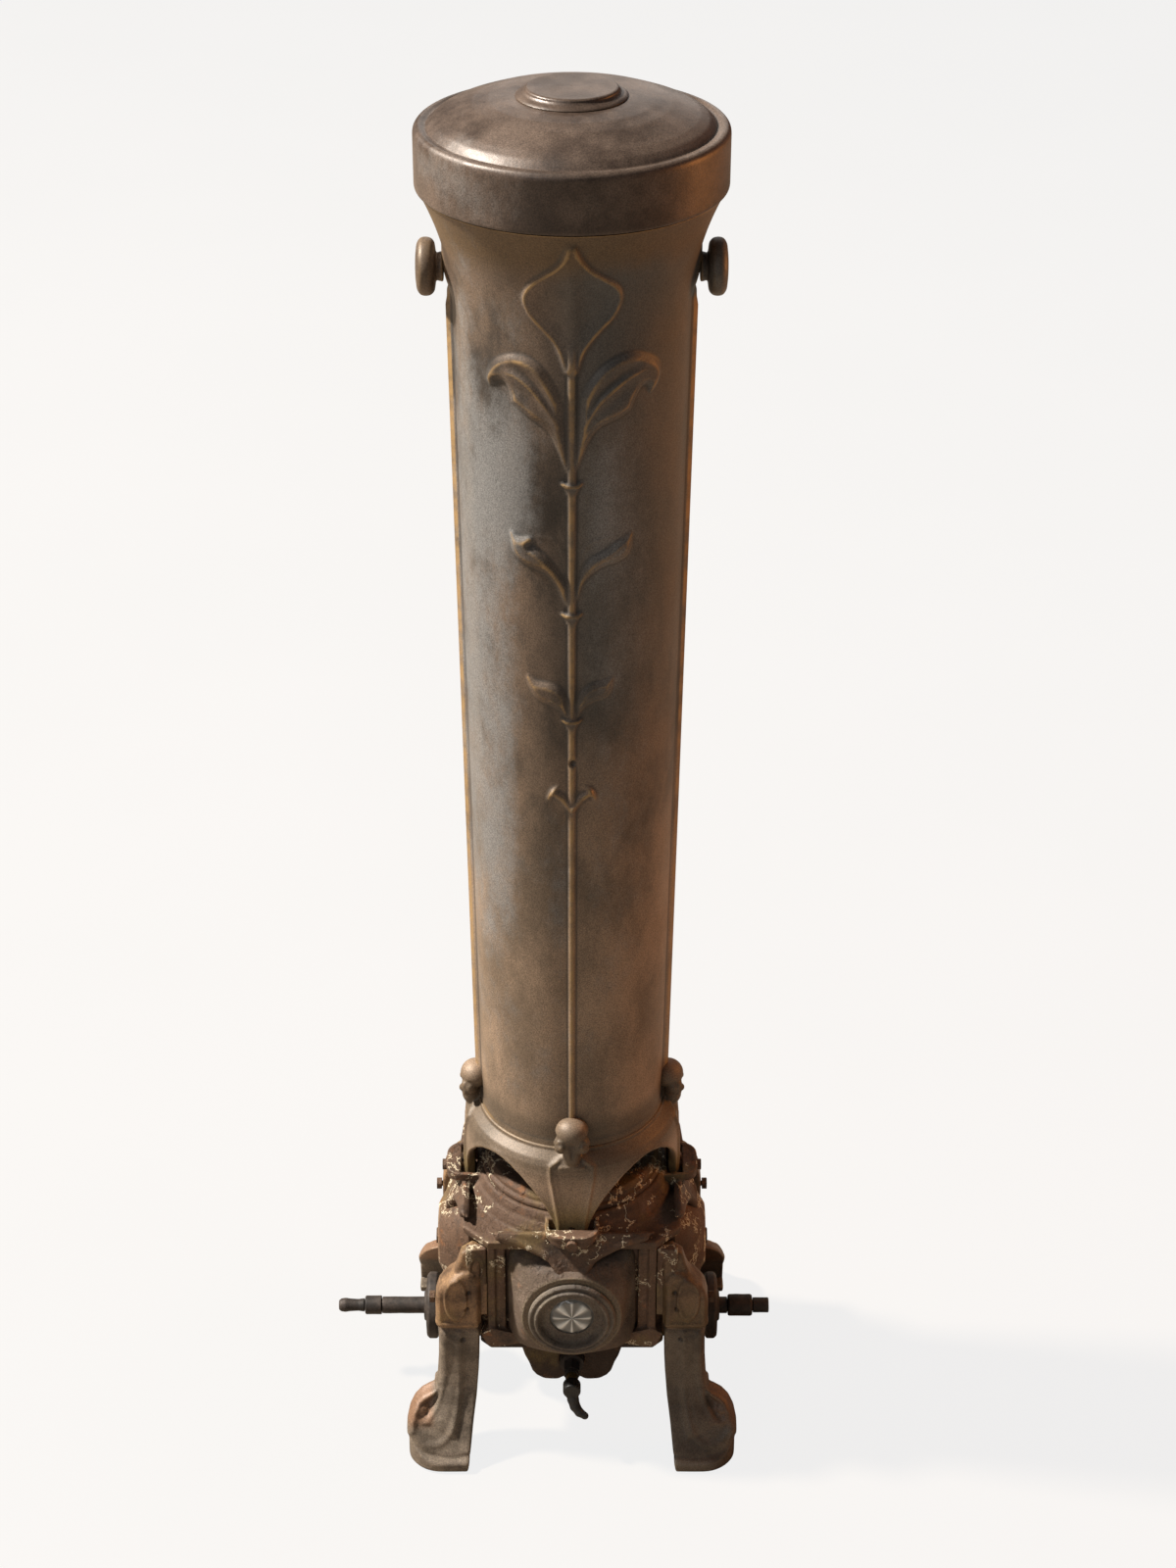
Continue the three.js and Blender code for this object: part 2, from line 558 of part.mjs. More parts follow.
// The stepped ring on the drum that the inner flue stands on.
const CROWN_Z = DRUM_Z + CLEAR;
const crownRing = () => turned([[FLUE_R, CROWN_Z], [DRUM_TOP_R - 2, CROWN_Z],
  [DRUM_TOP_R - 2, CROWN_Z + 4], [DRUM_TOP_R - 5, CROWN_Z + 5], [DRUM_TOP_R - 5, CROWN_Z + 8],
  [DRUM_TOP_R - 8, CROWN_Z + CROWN_H], [FLUE_R, CROWN_Z + CROWN_H], [FLUE_R, CROWN_Z]], ROUND_MID);

// ---------------------------------------------------------------- legs

// The front right leg seen from the front: arched knee, straight stem and a foot that spreads out.
function legFront() {
  const shape = new THREE.Shape();
  shape.moveTo(LEG_IN_X, KNEE_TOP_Z - 8);
  shape.quadraticCurveTo((LEG_IN_X + LEG_OUT_X) / 2, KNEE_TOP_Z + 8, LEG_OUT_X + 1, KNEE_TOP_Z - 8);
  shape.lineTo(LEG_OUT_X + 1.5, KNEE_Z0);
  shape.lineTo(LEG_OUT_X, KNEE_Z0 - 6);
  shape.lineTo(LEG_OUT_X + 0.5, EAR_Z + 8);
  shape.quadraticCurveTo(LEG_OUT_X + 2, EAR_Z, LEG_OUT_X + 10, EAR_Z - 5);
  shape.quadraticCurveTo(FOOT_OUT_X - 2, EAR_Z - 14, FOOT_OUT_X - 1.5, EAR_Z - 34);
  shape.lineTo(FOOT_OUT_X, SOLE_H);
  shape.lineTo(FOOT_OUT_X, 0);
  shape.lineTo(LEG_IN_X + 8, 0);
  shape.lineTo(LEG_IN_X + 5, 30);
  shape.quadraticCurveTo(LEG_IN_X, 60, LEG_IN_X, KNEE_Z0 - 6);
  return shape;
}

// The same leg seen from its side: the foot sweeps forward to the edge of the sole.
function legSide() {
  const back = -LEG_FRONT_Y + LEG_T;
  const shape = new THREE.Shape();
  shape.moveTo(back, KNEE_TOP_Z + 10);
  shape.lineTo(-LEG_FRONT_Y, KNEE_TOP_Z + 10);
  shape.lineTo(-LEG_FRONT_Y - 2, KNEE_Z0 + 2);
  shape.lineTo(-LEG_FRONT_Y + 1, KNEE_Z0 - 5);
  shape.lineTo(-LEG_FRONT_Y - 1, 78);
  shape.bezierCurveTo(-LEG_FRONT_Y - 2, 52, -FOOT_FRONT_Y + 16, 26, -FOOT_FRONT_Y + 5, SOLE_H + 5);
  shape.lineTo(-FOOT_FRONT_Y, SOLE_H);
  shape.lineTo(-FOOT_FRONT_Y, 0);
  shape.lineTo(-LEG_FRONT_Y - 4, 0);
  shape.bezierCurveTo(-LEG_FRONT_Y - 2, 26, back - 4, 40, back, 78);
  return shape;
}

// The leg seen from above: the sole's outer front corner is round.
function legPlan() {
  const shape = new THREE.Shape();
  shape.moveTo(40, 0);
  shape.lineTo(40, -FOOT_FRONT_Y);
  shape.lineTo(FOOT_OUT_X - SOLE_CORNER_R, -FOOT_FRONT_Y);
  shape.absarc(FOOT_OUT_X - SOLE_CORNER_R, -FOOT_FRONT_Y + SOLE_CORNER_R, SOLE_CORNER_R,
    -Math.PI / 2, 0, false);
  shape.lineTo(FOOT_OUT_X, 0);
  return shape;
}

// What is taken off the stem's outer front edge to round it.
function stemCorner() {
  const r = 9;
  const x = LEG_OUT_X + 1.5 - r;
  const y = -LEG_FRONT_Y - 1 + r;
  const edge = block(x, 140, -200, y, EAR_Z + 8, 200);
  return cut(edge, bar('z', r, 0, 240, ROUND_TINY, [x, y, 0]));
}

function legBody() {
  const silhouette = slabXZ(legFront(), -FOOT_FRONT_Y - 5, -LEG_FRONT_Y + LEG_T + 6, { curve: 3 });
  const profile = slabXZ(legSide(), -FOOT_OUT_X - 10, -40, { curve: 4 }).rotate([0, 0, 90]);
  const plan = slabXY(legPlan(), -1, KNEE_TOP_Z + 20, 4);
  return cut(silhouette.intersect(profile).intersect(plan), stemCorner());
}

// The scroll that runs down the face of a leg, rolls outward over the foot, and the oval boss.
function legRelief() {
  const faceY = (z) => -LEG_FRONT_Y - 30 * (Math.max(0, 70 - z) / 60) ** 1.5;
  const middle = (LEG_IN_X + LEG_OUT_X) / 2;
  const route = [[middle + 2, KNEE_Z0 - 8], [middle + 2, 84], [middle + 4, 62], [middle + 10, 42],
    [middle + 21, 32], [FOOT_OUT_X - 7, 37]];
  const scroll = swept(route.map(([x, z]) => [x, faceY(z) + 1, z]), (t) => 7.5 - 2.5 * t,
    () => 4, facingOut, 7, 6);
  const boss = solid(new THREE.SphereGeometry(1, 8, 6).scale(9, 4, 20)
    .translate(middle, -LEG_FRONT_Y - 0.5, (KNEE_Z0 + KNEE_TOP_Z) / 2 + 1));
  return joined(scroll, boss);
}

// What is taken off behind the ear, so that it is a plate over the sole.
function earRoom() {
  const front = -LEG_FRONT_Y;
  const shape = outline([[front + 50, SOLE_H + 2], [front - 15, SOLE_H + 2], [front - 12, 26],
    [front - 3, 40], [front + 4, 54], [front + 9, EAR_Z + 2], [front + 50, EAR_Z + 2]]);
  return slabXZ(shape, -FOOT_OUT_X - 20, -LEG_OUT_X - 3).rotate([0, 0, 90]);
}

function leg() {
  const pocket = solid(new THREE.SphereGeometry(1, 8, 5).scale(11, 7, 15)
    .translate(LEG_OUT_X + 9, -LEG_FRONT_Y - 12, 50));
  const lug = block(LEG_IN_X - 8, LEG_IN_X + 14, -LEG_FRONT_Y + 4, -LEG_FRONT_Y + LEG_T + 8,
    KNEE_Z0 + 6, KNEE_TOP_Z - 12);
  const frameRoom = slabXY(octagon(FRAME_HALF + CLEAR, CORNER_CUT + CLEAR * 1.5), 0, 300);
  const postEdge = POST_X + POST_W / 2 + CLEAR;
  const frontPostRoom = block(40, postEdge, -100, -40, 60, 200);
  const sidePostRoom = block(40, FRAME_HALF + POST_T + CLEAR, -postEdge, -20, 60, 200);
  return cut(joined(cut(legBody(), pocket, earRoom()), legRelief(), lug), frameRoom, frontPostRoom,
    sidePostRoom, legBoltHole());
}

// Each leg is held by a bolt that runs in along X and through the bevelled corner of the frame.
const boltAt = [0, -LEG_BOLT_Y, LEG_BOLT_Z];
const legBoltHole = () => bar('x', SCREW_R + CLEAR, 50, LEG_OUT_X + 10, ROUND_TINY, boltAt);
const legBolt = () => joined(bar('x', SCREW_R, FRAME_HALF - 9, LEG_OUT_X + 3, ROUND_TINY, boltAt),
  bar('x', BOLT_HEAD_R, LEG_OUT_X + 1.5 + CLEAR, LEG_OUT_X + 5.5, 6, boltAt));

const corners = [['front_right', 1, 1], ['front_left', -1, 1], ['rear_right', 1, -1],
  ['rear_left', -1, -1]];
function mirrored(body, sx, sy) {
  const once = sx < 0 ? body.mirror([1, 0, 0]) : body;
  return sy < 0 ? once.mirror([0, 1, 0]) : once;
}
const atCorners = (body) => corners.map(([, sx, sy]) => mirrored(body, sx, sy));

// ---------------------------------------------------------------- window

const windowRing = (profile, facets = ROUND_MID) =>
  turnedOnto(facingOut(), profile, facets, [0, 0, WINDOW_Z]);
const GLASS_BACK = CREST_Y - 5;
const GLASS_RIM = GLASS_BACK + GLASS_T - 1.8; // flat edge of the glass under the bezel's lip
const SPIGOT_BACK = GLASS_BACK - 4.5;

// Domed ring on the panel; its spigot runs back through the panel and holds the glass.
const windowBezel = () => windowRing([[BEZEL_R, CREST_Y + CLEAR], [BEZEL_R, CREST_Y + 2],
  [BEZEL_R - 2.5, CREST_Y + 3.8], [BEZEL_LIP_R + 1.5, CREST_Y + 5.6],
  [BEZEL_LIP_R - 0.8, CREST_Y + 5], [BEZEL_LIP_R - 2, CREST_Y + 2.5],
  [BEZEL_LIP_R - 2.5, GLASS_RIM + 1], [GLASS_R - 1.2, GLASS_RIM + 1],
  [GLASS_R - 1.2, GLASS_RIM + CLEAR], [GLASS_R + CLEAR, GLASS_RIM + CLEAR],
  [GLASS_R + CLEAR, SPIGOT_BACK], [BEZEL_LIP_R, SPIGOT_BACK], [BEZEL_LIP_R, CREST_Y + CLEAR],
  [BEZEL_R, CREST_Y + CLEAR]]);

// A domed disc of pressed glass with eight rays.
function windowGlass() {
  const ring = (r, y, relief) => Array.from({ length: 16 }, (_, i) => {
    const angle = (2 * Math.PI * i) / 16;
    return [r * Math.cos(angle), -(y + relief * (i % 2)), WINDOW_Z + r * Math.sin(angle)];
  });
  return loft([ring(GLASS_R, GLASS_BACK, 0), ring(GLASS_R, GLASS_RIM, 0),
    ring(GLASS_R - 1.7, GLASS_RIM, 0), ring(GLASS_R - 2.4, GLASS_RIM + 2, 0.4),
    ring(8, GLASS_RIM + 3.8, 1.4), ring(2, GLASS_RIM + 4.8, 0.6)]);
}

const tube = (outer, bore, from, to) => [[bore, from], [outer, from], [outer, to], [bore, to],
  [bore, from]];
const windowGasket = () => windowRing(tube(GLASS_R, GLASS_R - 3.5, GLASS_BACK - 1.3,
  GLASS_BACK - CLEAR), ROUND_SMALL);
const windowRetainer = () => windowRing(tube(GLASS_R, GLASS_R - 4, SPIGOT_BACK,
  GLASS_BACK - 1.6), ROUND_SMALL);

// ---------------------------------------------------------------- gas way

const gasPoint = [0, 0, GAS_Z];
const onGasLine = (side, profile, facets = ROUND_TINY) =>
  turnedOnto(along(side), profile, facets, gasPoint);

// The dish under the frame: an octagonal rim over a hollow that narrows to a smaller floor, with
// ways for the three arms and an arched notch under the tap.
function bowl() {
  const top = FRAME_Z0 - CLEAR;
  const ring = (half, cutSum, z) => octagon(half, cutSum).getPoints().slice(0, 8)
    .map((point) => [point.x, point.y, z]);
  const corner = 2 * BOWL_HALF - 26;
  const floor = BOWL_BOTTOM_Z + BOWL_WALL;
  const inner = BOWL_HALF - BOWL_WALL;
  const outside = loft([ring(BOWL_HALF - 14, corner - 28, BOWL_BOTTOM_Z),
    ring(BOWL_HALF - 5, corner - 10, BOWL_BOTTOM_Z + 4), ring(BOWL_HALF, corner, BOWL_BOTTOM_Z + 11),
    ring(BOWL_HALF, corner, top - 2)]);
  const hollow = loft([ring(inner - 14, corner - 34, floor), ring(inner, corner - 6, floor + 11),
    ring(inner, corner - 6, top + 2)]);
  const rim = slabXY(octagon(FRAME_HALF - 1.5, CORNER_CUT - 3), top - 7, top);
  const notch = bar('y', 13.5, -BOWL_HALF - 5, -BOWL_HALF + 16, ROUND_MID,
    [0, 0, BOWL_BOTTOM_Z - 7.5]);
  return cut(joined(rim, outside), hollow, notch,
    bar('x', ARM_R + CLEAR, -80, 80, ROUND_TINY, gasPoint),
    bar('y', ARM_R + CLEAR, -80, 0, ROUND_TINY, gasPoint));
}

// The casting in the bowl: an arm to each side, one to the tap and one up to the burner.
const ARM_END_X = FLANGE_X - FLANGE_T - CLEAR;
const JET_Z = GAS_Z + 20;
function gasCross() {
  const arms = joined(bar('x', ARM_R, -ARM_END_X, ARM_END_X, ROUND_TINY, gasPoint),
    bar('y', ARM_R, -TAP_Y, 0, ROUND_TINY, gasPoint), bar('z', MIXER_R, GAS_Z, JET_Z, ROUND_TINY),
    solid(new THREE.SphereGeometry(15, 10, 7).translate(...gasPoint)));
  return cut(arms, bar('x', PIPE_BORE_R, -ARM_END_X - 1, ARM_END_X + 1, 8, gasPoint),
    bar('y', SPINDLE_R + CLEAR, -TAP_Y - 1, -24, ROUND_TINY, gasPoint),
    bar('z', PIPE_BORE_R, GAS_Z, JET_Z + 10, 8));
}

const FLANGE_BACK = FLANGE_X - FLANGE_T;
const flange = (side) => onGasLine(side, [[PIPE_R + CLEAR, FLANGE_BACK],
  [FLANGE_R - 1, FLANGE_BACK], [FLANGE_R, FLANGE_BACK + 1], [FLANGE_R, FLANGE_X - 2],
  [FLANGE_R - 2, FLANGE_X], [12, FLANGE_X], [11, FLANGE_X + 2], [PIPE_R + CLEAR, FLANGE_X + 2],
  [PIPE_R + CLEAR, FLANGE_BACK]], ROUND_SMALL);
const gasPipe = (side, end) => onGasLine(side, tube(PIPE_R, PIPE_BORE_R, FLANGE_BACK, end));

const COLLAR_X = PIPE_LEFT_X + CLEAR;
const COLLAR_END_X = PIPE_LEFT_X + COLLAR_L;
const collar = () => onGasLine(-1, [[PIPE_BORE_R, COLLAR_X], [COLLAR_R, COLLAR_X],
  [COLLAR_R, COLLAR_END_X - 1], [COLLAR_R - 1, COLLAR_END_X], [PIPE_BORE_R, COLLAR_END_X],
  [PIPE_BORE_R, COLLAR_X]]);

// The ribbed tail that a hose is pushed over.
function barb() {
  const x0 = COLLAR_END_X + CLEAR;
  const x1 = COLLAR_END_X + BARB_L;
  return onGasLine(-1, [[BARB_BORE_R, x0], [BARB_R - 0.4, x0], [BARB_R - 1, x0 + 5],
    [BARB_R - 0.6, x1 - 8], [BARB_R, x1 - 5], [BARB_R - 0.6, x1 - 1.5], [BARB_R - 2, x1],
    [BARB_BORE_R, x1], [BARB_BORE_R, x0]]);
}

const COUPLING_X = PIPE_RIGHT_X + CLEAR;
const COUPLING_END_X = PIPE_RIGHT_X + COUPLING_L;
const coupling = () => onGasLine(1, [[PIPE_BORE_R, COUPLING_X], [COUPLING_R - 0.8, COUPLING_X],
  [COUPLING_R, COUPLING_X + 1.2], [COUPLING_R, COUPLING_END_X - 1.5],
  [COUPLING_R - 0.8, COUPLING_END_X], [PIPE_BORE_R, COUPLING_END_X], [PIPE_BORE_R, COUPLING_X]]);
const nipple = () => onGasLine(1, tube(NIPPLE_R, PIPE_BORE_R - 1, COUPLING_END_X + CLEAR,
  COUPLING_END_X + NIPPLE_L));

// The brass jet and the mixing tube that carries the burner.
const injector = () => turned([[1, JET_Z + CLEAR], [5.5, JET_Z + CLEAR], [5.5, JET_Z + 3],
  [3, JET_Z + 6], [1, JET_Z + 6], [1, JET_Z + CLEAR]], ROUND_TINY);

function mixer() {
  const bore = MIXER_R - 2;
  const shoulder = BURNER_Z - 1;
  const body = turned([[bore, JET_Z + CLEAR], [MIXER_R, JET_Z + CLEAR], [MIXER_R, shoulder - 5],
    [MIXER_R + 3, shoulder - 3], [MIXER_R + 3, shoulder], [MIXER_R, shoulder],
    [MIXER_R, BURNER_Z + 4], [bore, BURNER_Z + 4], [bore, JET_Z + CLEAR]], ROUND_TINY);
  const airHole = bar('x', 3.5, -20, 20, 8, [0, 0, JET_Z + 12]);
  return cut(body, airHole, spun(airHole, 90));
}

// A hollow disc with a ring of ports in its top.
function burnerHead() {
  const z0 = BURNER_Z - 1 + CLEAR;
  const z1 = BURNER_Z + 14;
  const boreR = MIXER_R + CLEAR;
  const head = turned([[boreR, z0], [BURNER_R - 8, z0], [BURNER_R, z0 + 5], [BURNER_R, z1 - 2],
    [BURNER_R - 2, z1], [0, z1], [0, z1 - 2.5], [BURNER_R - 4, z1 - 2.5],
    [BURNER_R - 2.5, z0 + 6], [BURNER_R - 9, z0 + 2.5], [boreR, z0 + 2.5], [boreR, z0]],
  ROUND_SMALL);
  const portR = BURNER_R - 9;
  const ports = Array.from({ length: PORT_COUNT }, (_, i) => {
    const angle = (2 * Math.PI * i) / PORT_COUNT;
    return bar('z', 2.2, z1 - 5, z1 + 2, 5, [portR * Math.cos(angle), portR * Math.sin(angle), 0]);
  });
  return cut(head, ports);
}

// ---------------------------------------------------------------- tap

const TAP_END_Y = TAP_Y + GLAND_L;
const hexBar = (axis, r, from, to, at) => bar(axis, r, from, to, 6, at);
const spindleHole = (to = -50) => bar('y', SPINDLE_R + CLEAR, -120, to, ROUND_TINY, gasPoint);
const tapGland = () => cut(joined(hexBar('y', GLAND_R, -TAP_END_Y, -TAP_Y - CLEAR, gasPoint),
  bar('y', GLAND_R - 1.2, -TAP_END_Y - 3, -TAP_END_Y + 1, ROUND_TINY, gasPoint)), spindleHole());
const tapSpindle = () => bar('y', SPINDLE_R, -SPINDLE_END_Y, -TAP_Y + 30, ROUND_TINY, gasPoint);

// The handle curves down to the right from a hub that covers the spindle's end.
function tapLever() {
  const hub = bar('y', LEVER_R + 2, -SPINDLE_END_Y - 2.5, -SPINDLE_END_Y + 8, ROUND_TINY, gasPoint);
  const handle = swept([[0, -SPINDLE_END_Y + 3, GAS_Z - 4], [1.5, -SPINDLE_END_Y - 1, GAS_Z - 11],
    [4.5, -SPINDLE_END_Y - 4, GAS_Z - 16.5], [10, -SPINDLE_END_Y - 6, GAS_Z - 20]],
  (t) => LEVER_R * (1 - 0.45 * t), (t) => LEVER_R * (1 - 0.35 * t), facingOut, 6, 8);
  const socket = bar('y', SPINDLE_R + CLEAR, -SPINDLE_END_Y - CLEAR, -60, ROUND_TINY, gasPoint);
  return cut(joined(hub, handle), socket);
}

// ---------------------------------------------------------------- fasteners and inner sheet

const tongueScrew = () => joined(
  bar('y', SCREW_R, -CUP_REACH - 1, -66, ROUND_TINY, [0, 0, SCREW_Z]),
  bar('y', 4, -CUP_REACH - 3, -CUP_REACH + 0.5 - CLEAR, ROUND_TINY, [0, 0, SCREW_Z]));

// A strap behind each cover takes its bolt.
const coverPoint = [0, 0, COVER_BOLT_Z];
const STRAP_Y = FRAME_HALF - FRAME_WALL - CLEAR;
const coverBoltHole = () => bar('y', SCREW_R + CLEAR, -120, -40, ROUND_TINY, coverPoint);
const strap = () => cut(block(-PANEL_HALF - 3, PANEL_HALF + 3, -STRAP_Y, -STRAP_Y + STRAP_T,
  COVER_BOLT_Z - 7, COVER_BOLT_Z + 7), coverBoltHole());
const coverBolt = () => joined(bar('y', SCREW_R, -CREST_Y - 2, -STRAP_Y + STRAP_T + 8,
  ROUND_TINY, coverPoint),
  hexBar('y', BOLT_HEAD_R + 1.5, -CREST_Y - 6, -CREST_Y - CLEAR, coverPoint));
const STRAP_BACK_Y = -STRAP_Y + STRAP_T;
const coverNut = () => cut(hexBar('y', BOLT_HEAD_R, STRAP_BACK_Y + CLEAR, STRAP_BACK_Y + 6,
  coverPoint), coverBoltHole());

const KNOB_NUT_X = shaftR(KNOB_Z) - COLUMN_WALL - 1.6;
const knobNut = (side) => cut(hexBar('x', 7, side * (KNOB_NUT_X - 5.5), side * KNOB_NUT_X,
  [0, 0, KNOB_Z]),
  bar('x', KNOB_STUD_R + CLEAR, side * 50, side * 80, ROUND_TINY, [0, 0, KNOB_Z]));

const FLUE_FOOT_Z = CROWN_Z + CROWN_H + CLEAR;
const FLUE_TOP_Z = NECK_Z - 6;
const innerFlue = () => turned(tube(FLUE_R + 1.5, FLUE_R, FLUE_FOOT_Z, FLUE_TOP_Z), ROUND_MID);

// The disc on the flue turns the hot gas outward through four holes.
const topBaffle = () => cut(turned([[0, FLUE_TOP_Z + CLEAR], [FLUE_R + 6, FLUE_TOP_Z + CLEAR],
  [FLUE_R + 6, FLUE_TOP_Z + 2.5], [0, FLUE_TOP_Z + 2.5]], ROUND_MID),
fourTimes(bar('z', 12, FLUE_TOP_Z - 5, FLUE_TOP_Z + 9, ROUND_TINY, [30, 0, 0])));

const LID_INSIDE_Z = LID_CROWN_Z - LID_WALL;
const lidNut = () => cut(hexBar('z', 8, LID_INSIDE_Z - 7, LID_INSIDE_Z - CLEAR, [0, 0, 0]),
  bar('z', KNOB_STUD_R + CLEAR, LID_INSIDE_Z - 20, LID_INSIDE_Z + 9, ROUND_TINY));
function lidButton() {
  const z = LID_CROWN_Z + CLEAR;
  const cap = turned([[0, z], [BUTTON_R + 3, z], [BUTTON_R + 2.4, z + 1.2],
    [BUTTON_R + 0.6, z + 2.2], [BUTTON_R, z + BUTTON_H - 1], [BUTTON_R - 1.4, z + BUTTON_H],
    [0, z + BUTTON_H]], ROUND_MID);
  return joined(cap, bar('z', KNOB_STUD_R, LID_INSIDE_Z - 9, z + 1, ROUND_TINY));
}

// ---------------------------------------------------------------- assembly

add('column_shell', columnShell(), bronzed());
add('knob_left', knob(-1), bronzed());
add('knob_right', knob(1), bronzed());
add('knob_nut_left', knobNut(-1), rust());
add('knob_nut_right', knobNut(1), rust());
add('inner_flue', innerFlue(), sheet());
add('top_baffle', topBaffle(), sheet());
add('lid', lid(), lidIron());
add('lid_button', lidButton(), lidIron());
add('lid_nut', lidNut(), rust());
add('base_top', baseTop(), rust());
add('burner_crown', crownRing(), rust());
for (const [name, q] of sides) add(`tongue_screw_${name}`, spun(tongueScrew(), q), rust());
add('base_frame', baseFrame(), rust());
add('front_panel', windowPanel(), rust());
for (const [name, q] of sides.slice(1)) {
  add(`${name}_cover`, spun(blankCover(), q), rust());
  add(`cover_strap_${name}`, spun(strap(), q), rust());
  add(`cover_bolt_${name}`, spun(coverBolt(), q), rust());
  add(`cover_nut_${name}`, spun(coverNut(), q), rust());
}
add('window_bezel', windowBezel(), legIron());
add('window_glass', windowGlass(), glass());
add('window_gasket', windowGasket(), blackIron());
add('window_retainer', windowRetainer(), brass());
for (const [name, sx, sy] of corners) {
  add(`leg_${name}`, mirrored(leg(), sx, sy), legIron());
  add(`leg_bolt_${name}`, mirrored(legBolt(), sx, sy), rust());
}
add('bowl', bowl(), rust());
add('gas_cross', gasCross(), pipeIron());
add('flange_left', flange(-1), pipeIron());
add('flange_right', flange(1), pipeIron());
add('gas_pipe_left', gasPipe(-1, PIPE_LEFT_X), pipeIron());
add('pipe_collar', collar(), pipeIron());
add('hose_barb', barb(), pipeIron());
add('gas_pipe_right', gasPipe(1, PIPE_RIGHT_X), pipeIron());
add('pipe_coupling', coupling(), pipeIron());
add('pipe_nipple', nipple(), pipeIron());
add('injector', injector(), brass());
add('mixer_tube', mixer(), pipeIron());
add('burner_head', burnerHead(), pipeIron());
add('tap_gland', tapGland(), pipeIron());
add('tap_spindle', tapSpindle(), brass());
add('tap_lever', tapLever(), blackIron());

export default group;
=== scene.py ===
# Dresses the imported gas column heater: fine cast surfaces, relief in the skin and worn finishes.
# Lengths in the geometry code are millimetres; they become metres when a mesh is made.
import json
import math

import bpy
import numpy as np
import openvdb as vdb
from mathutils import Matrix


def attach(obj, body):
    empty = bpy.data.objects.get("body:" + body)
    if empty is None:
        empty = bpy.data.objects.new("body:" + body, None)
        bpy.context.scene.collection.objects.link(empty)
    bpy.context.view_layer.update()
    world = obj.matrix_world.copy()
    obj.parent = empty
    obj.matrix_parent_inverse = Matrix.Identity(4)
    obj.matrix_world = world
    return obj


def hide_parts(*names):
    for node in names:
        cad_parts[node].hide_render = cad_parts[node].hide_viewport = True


MM = 0.001
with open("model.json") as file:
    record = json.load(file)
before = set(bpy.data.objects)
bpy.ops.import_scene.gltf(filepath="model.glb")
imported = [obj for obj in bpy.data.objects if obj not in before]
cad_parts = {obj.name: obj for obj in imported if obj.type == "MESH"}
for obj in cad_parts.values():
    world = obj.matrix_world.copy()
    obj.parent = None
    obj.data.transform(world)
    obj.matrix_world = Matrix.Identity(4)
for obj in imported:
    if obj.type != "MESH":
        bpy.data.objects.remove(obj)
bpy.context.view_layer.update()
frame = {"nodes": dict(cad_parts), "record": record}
nodes = frame["nodes"]
scene = bpy.context.scene

# ------------------------------------------------------------ camera and light

camera = bpy.data.objects.new("camera", bpy.data.cameras.new("camera"))
scene.collection.objects.link(camera)
scene.camera = camera
camera.location = (0.0, -1.658, 1.5005)
camera.rotation_euler = (math.radians(90 - 30.6), 0.0, 0.0)
camera.data.sensor_fit = "VERTICAL"
camera.data.sensor_height = 36.0
camera.data.lens = 36.0 * 2900 / 1600
camera.data.shift_x = 16.5 / 1600
camera.data.clip_start = 0.05
camera.data.clip_end = 60


def lamp(name, place, size, power, colour=(1, 1, 1), aim=(0, 0, 0.5)):
    data = bpy.data.lights.new(name, "AREA")
    data.shape = "DISK"
    data.size = size
    data.energy = power
    data.color = colour
    obj = bpy.data.objects.new(name, data)
    scene.collection.objects.link(obj)
    obj.location = place
    way = np.array(aim, float) - np.array(place, float)
    obj.rotation_euler = (math.atan2(math.hypot(way[0], way[1]), -way[2]), 0,
                          math.atan2(-way[0], way[1]))


lamp("key", (-3.71, 0.5, 4.5), 0.45, 860, (1.0, 0.95, 0.87))
lamp("front_soft", (-1.9, -2.8, 2.4), 1.6, 20, (0.97, 0.98, 1.0))
lamp("warm_side", (1.25, 0.2, 0.9), 0.5, 7, (1.0, 0.38, 0.1), (0, 0, 0.75))
lamp("back", (0.2, 2.4, 1.6), 1.4, 5, (1.0, 0.95, 0.9))

scene.view_settings.view_transform = "Standard"


# ------------------------------------------------------------ materials


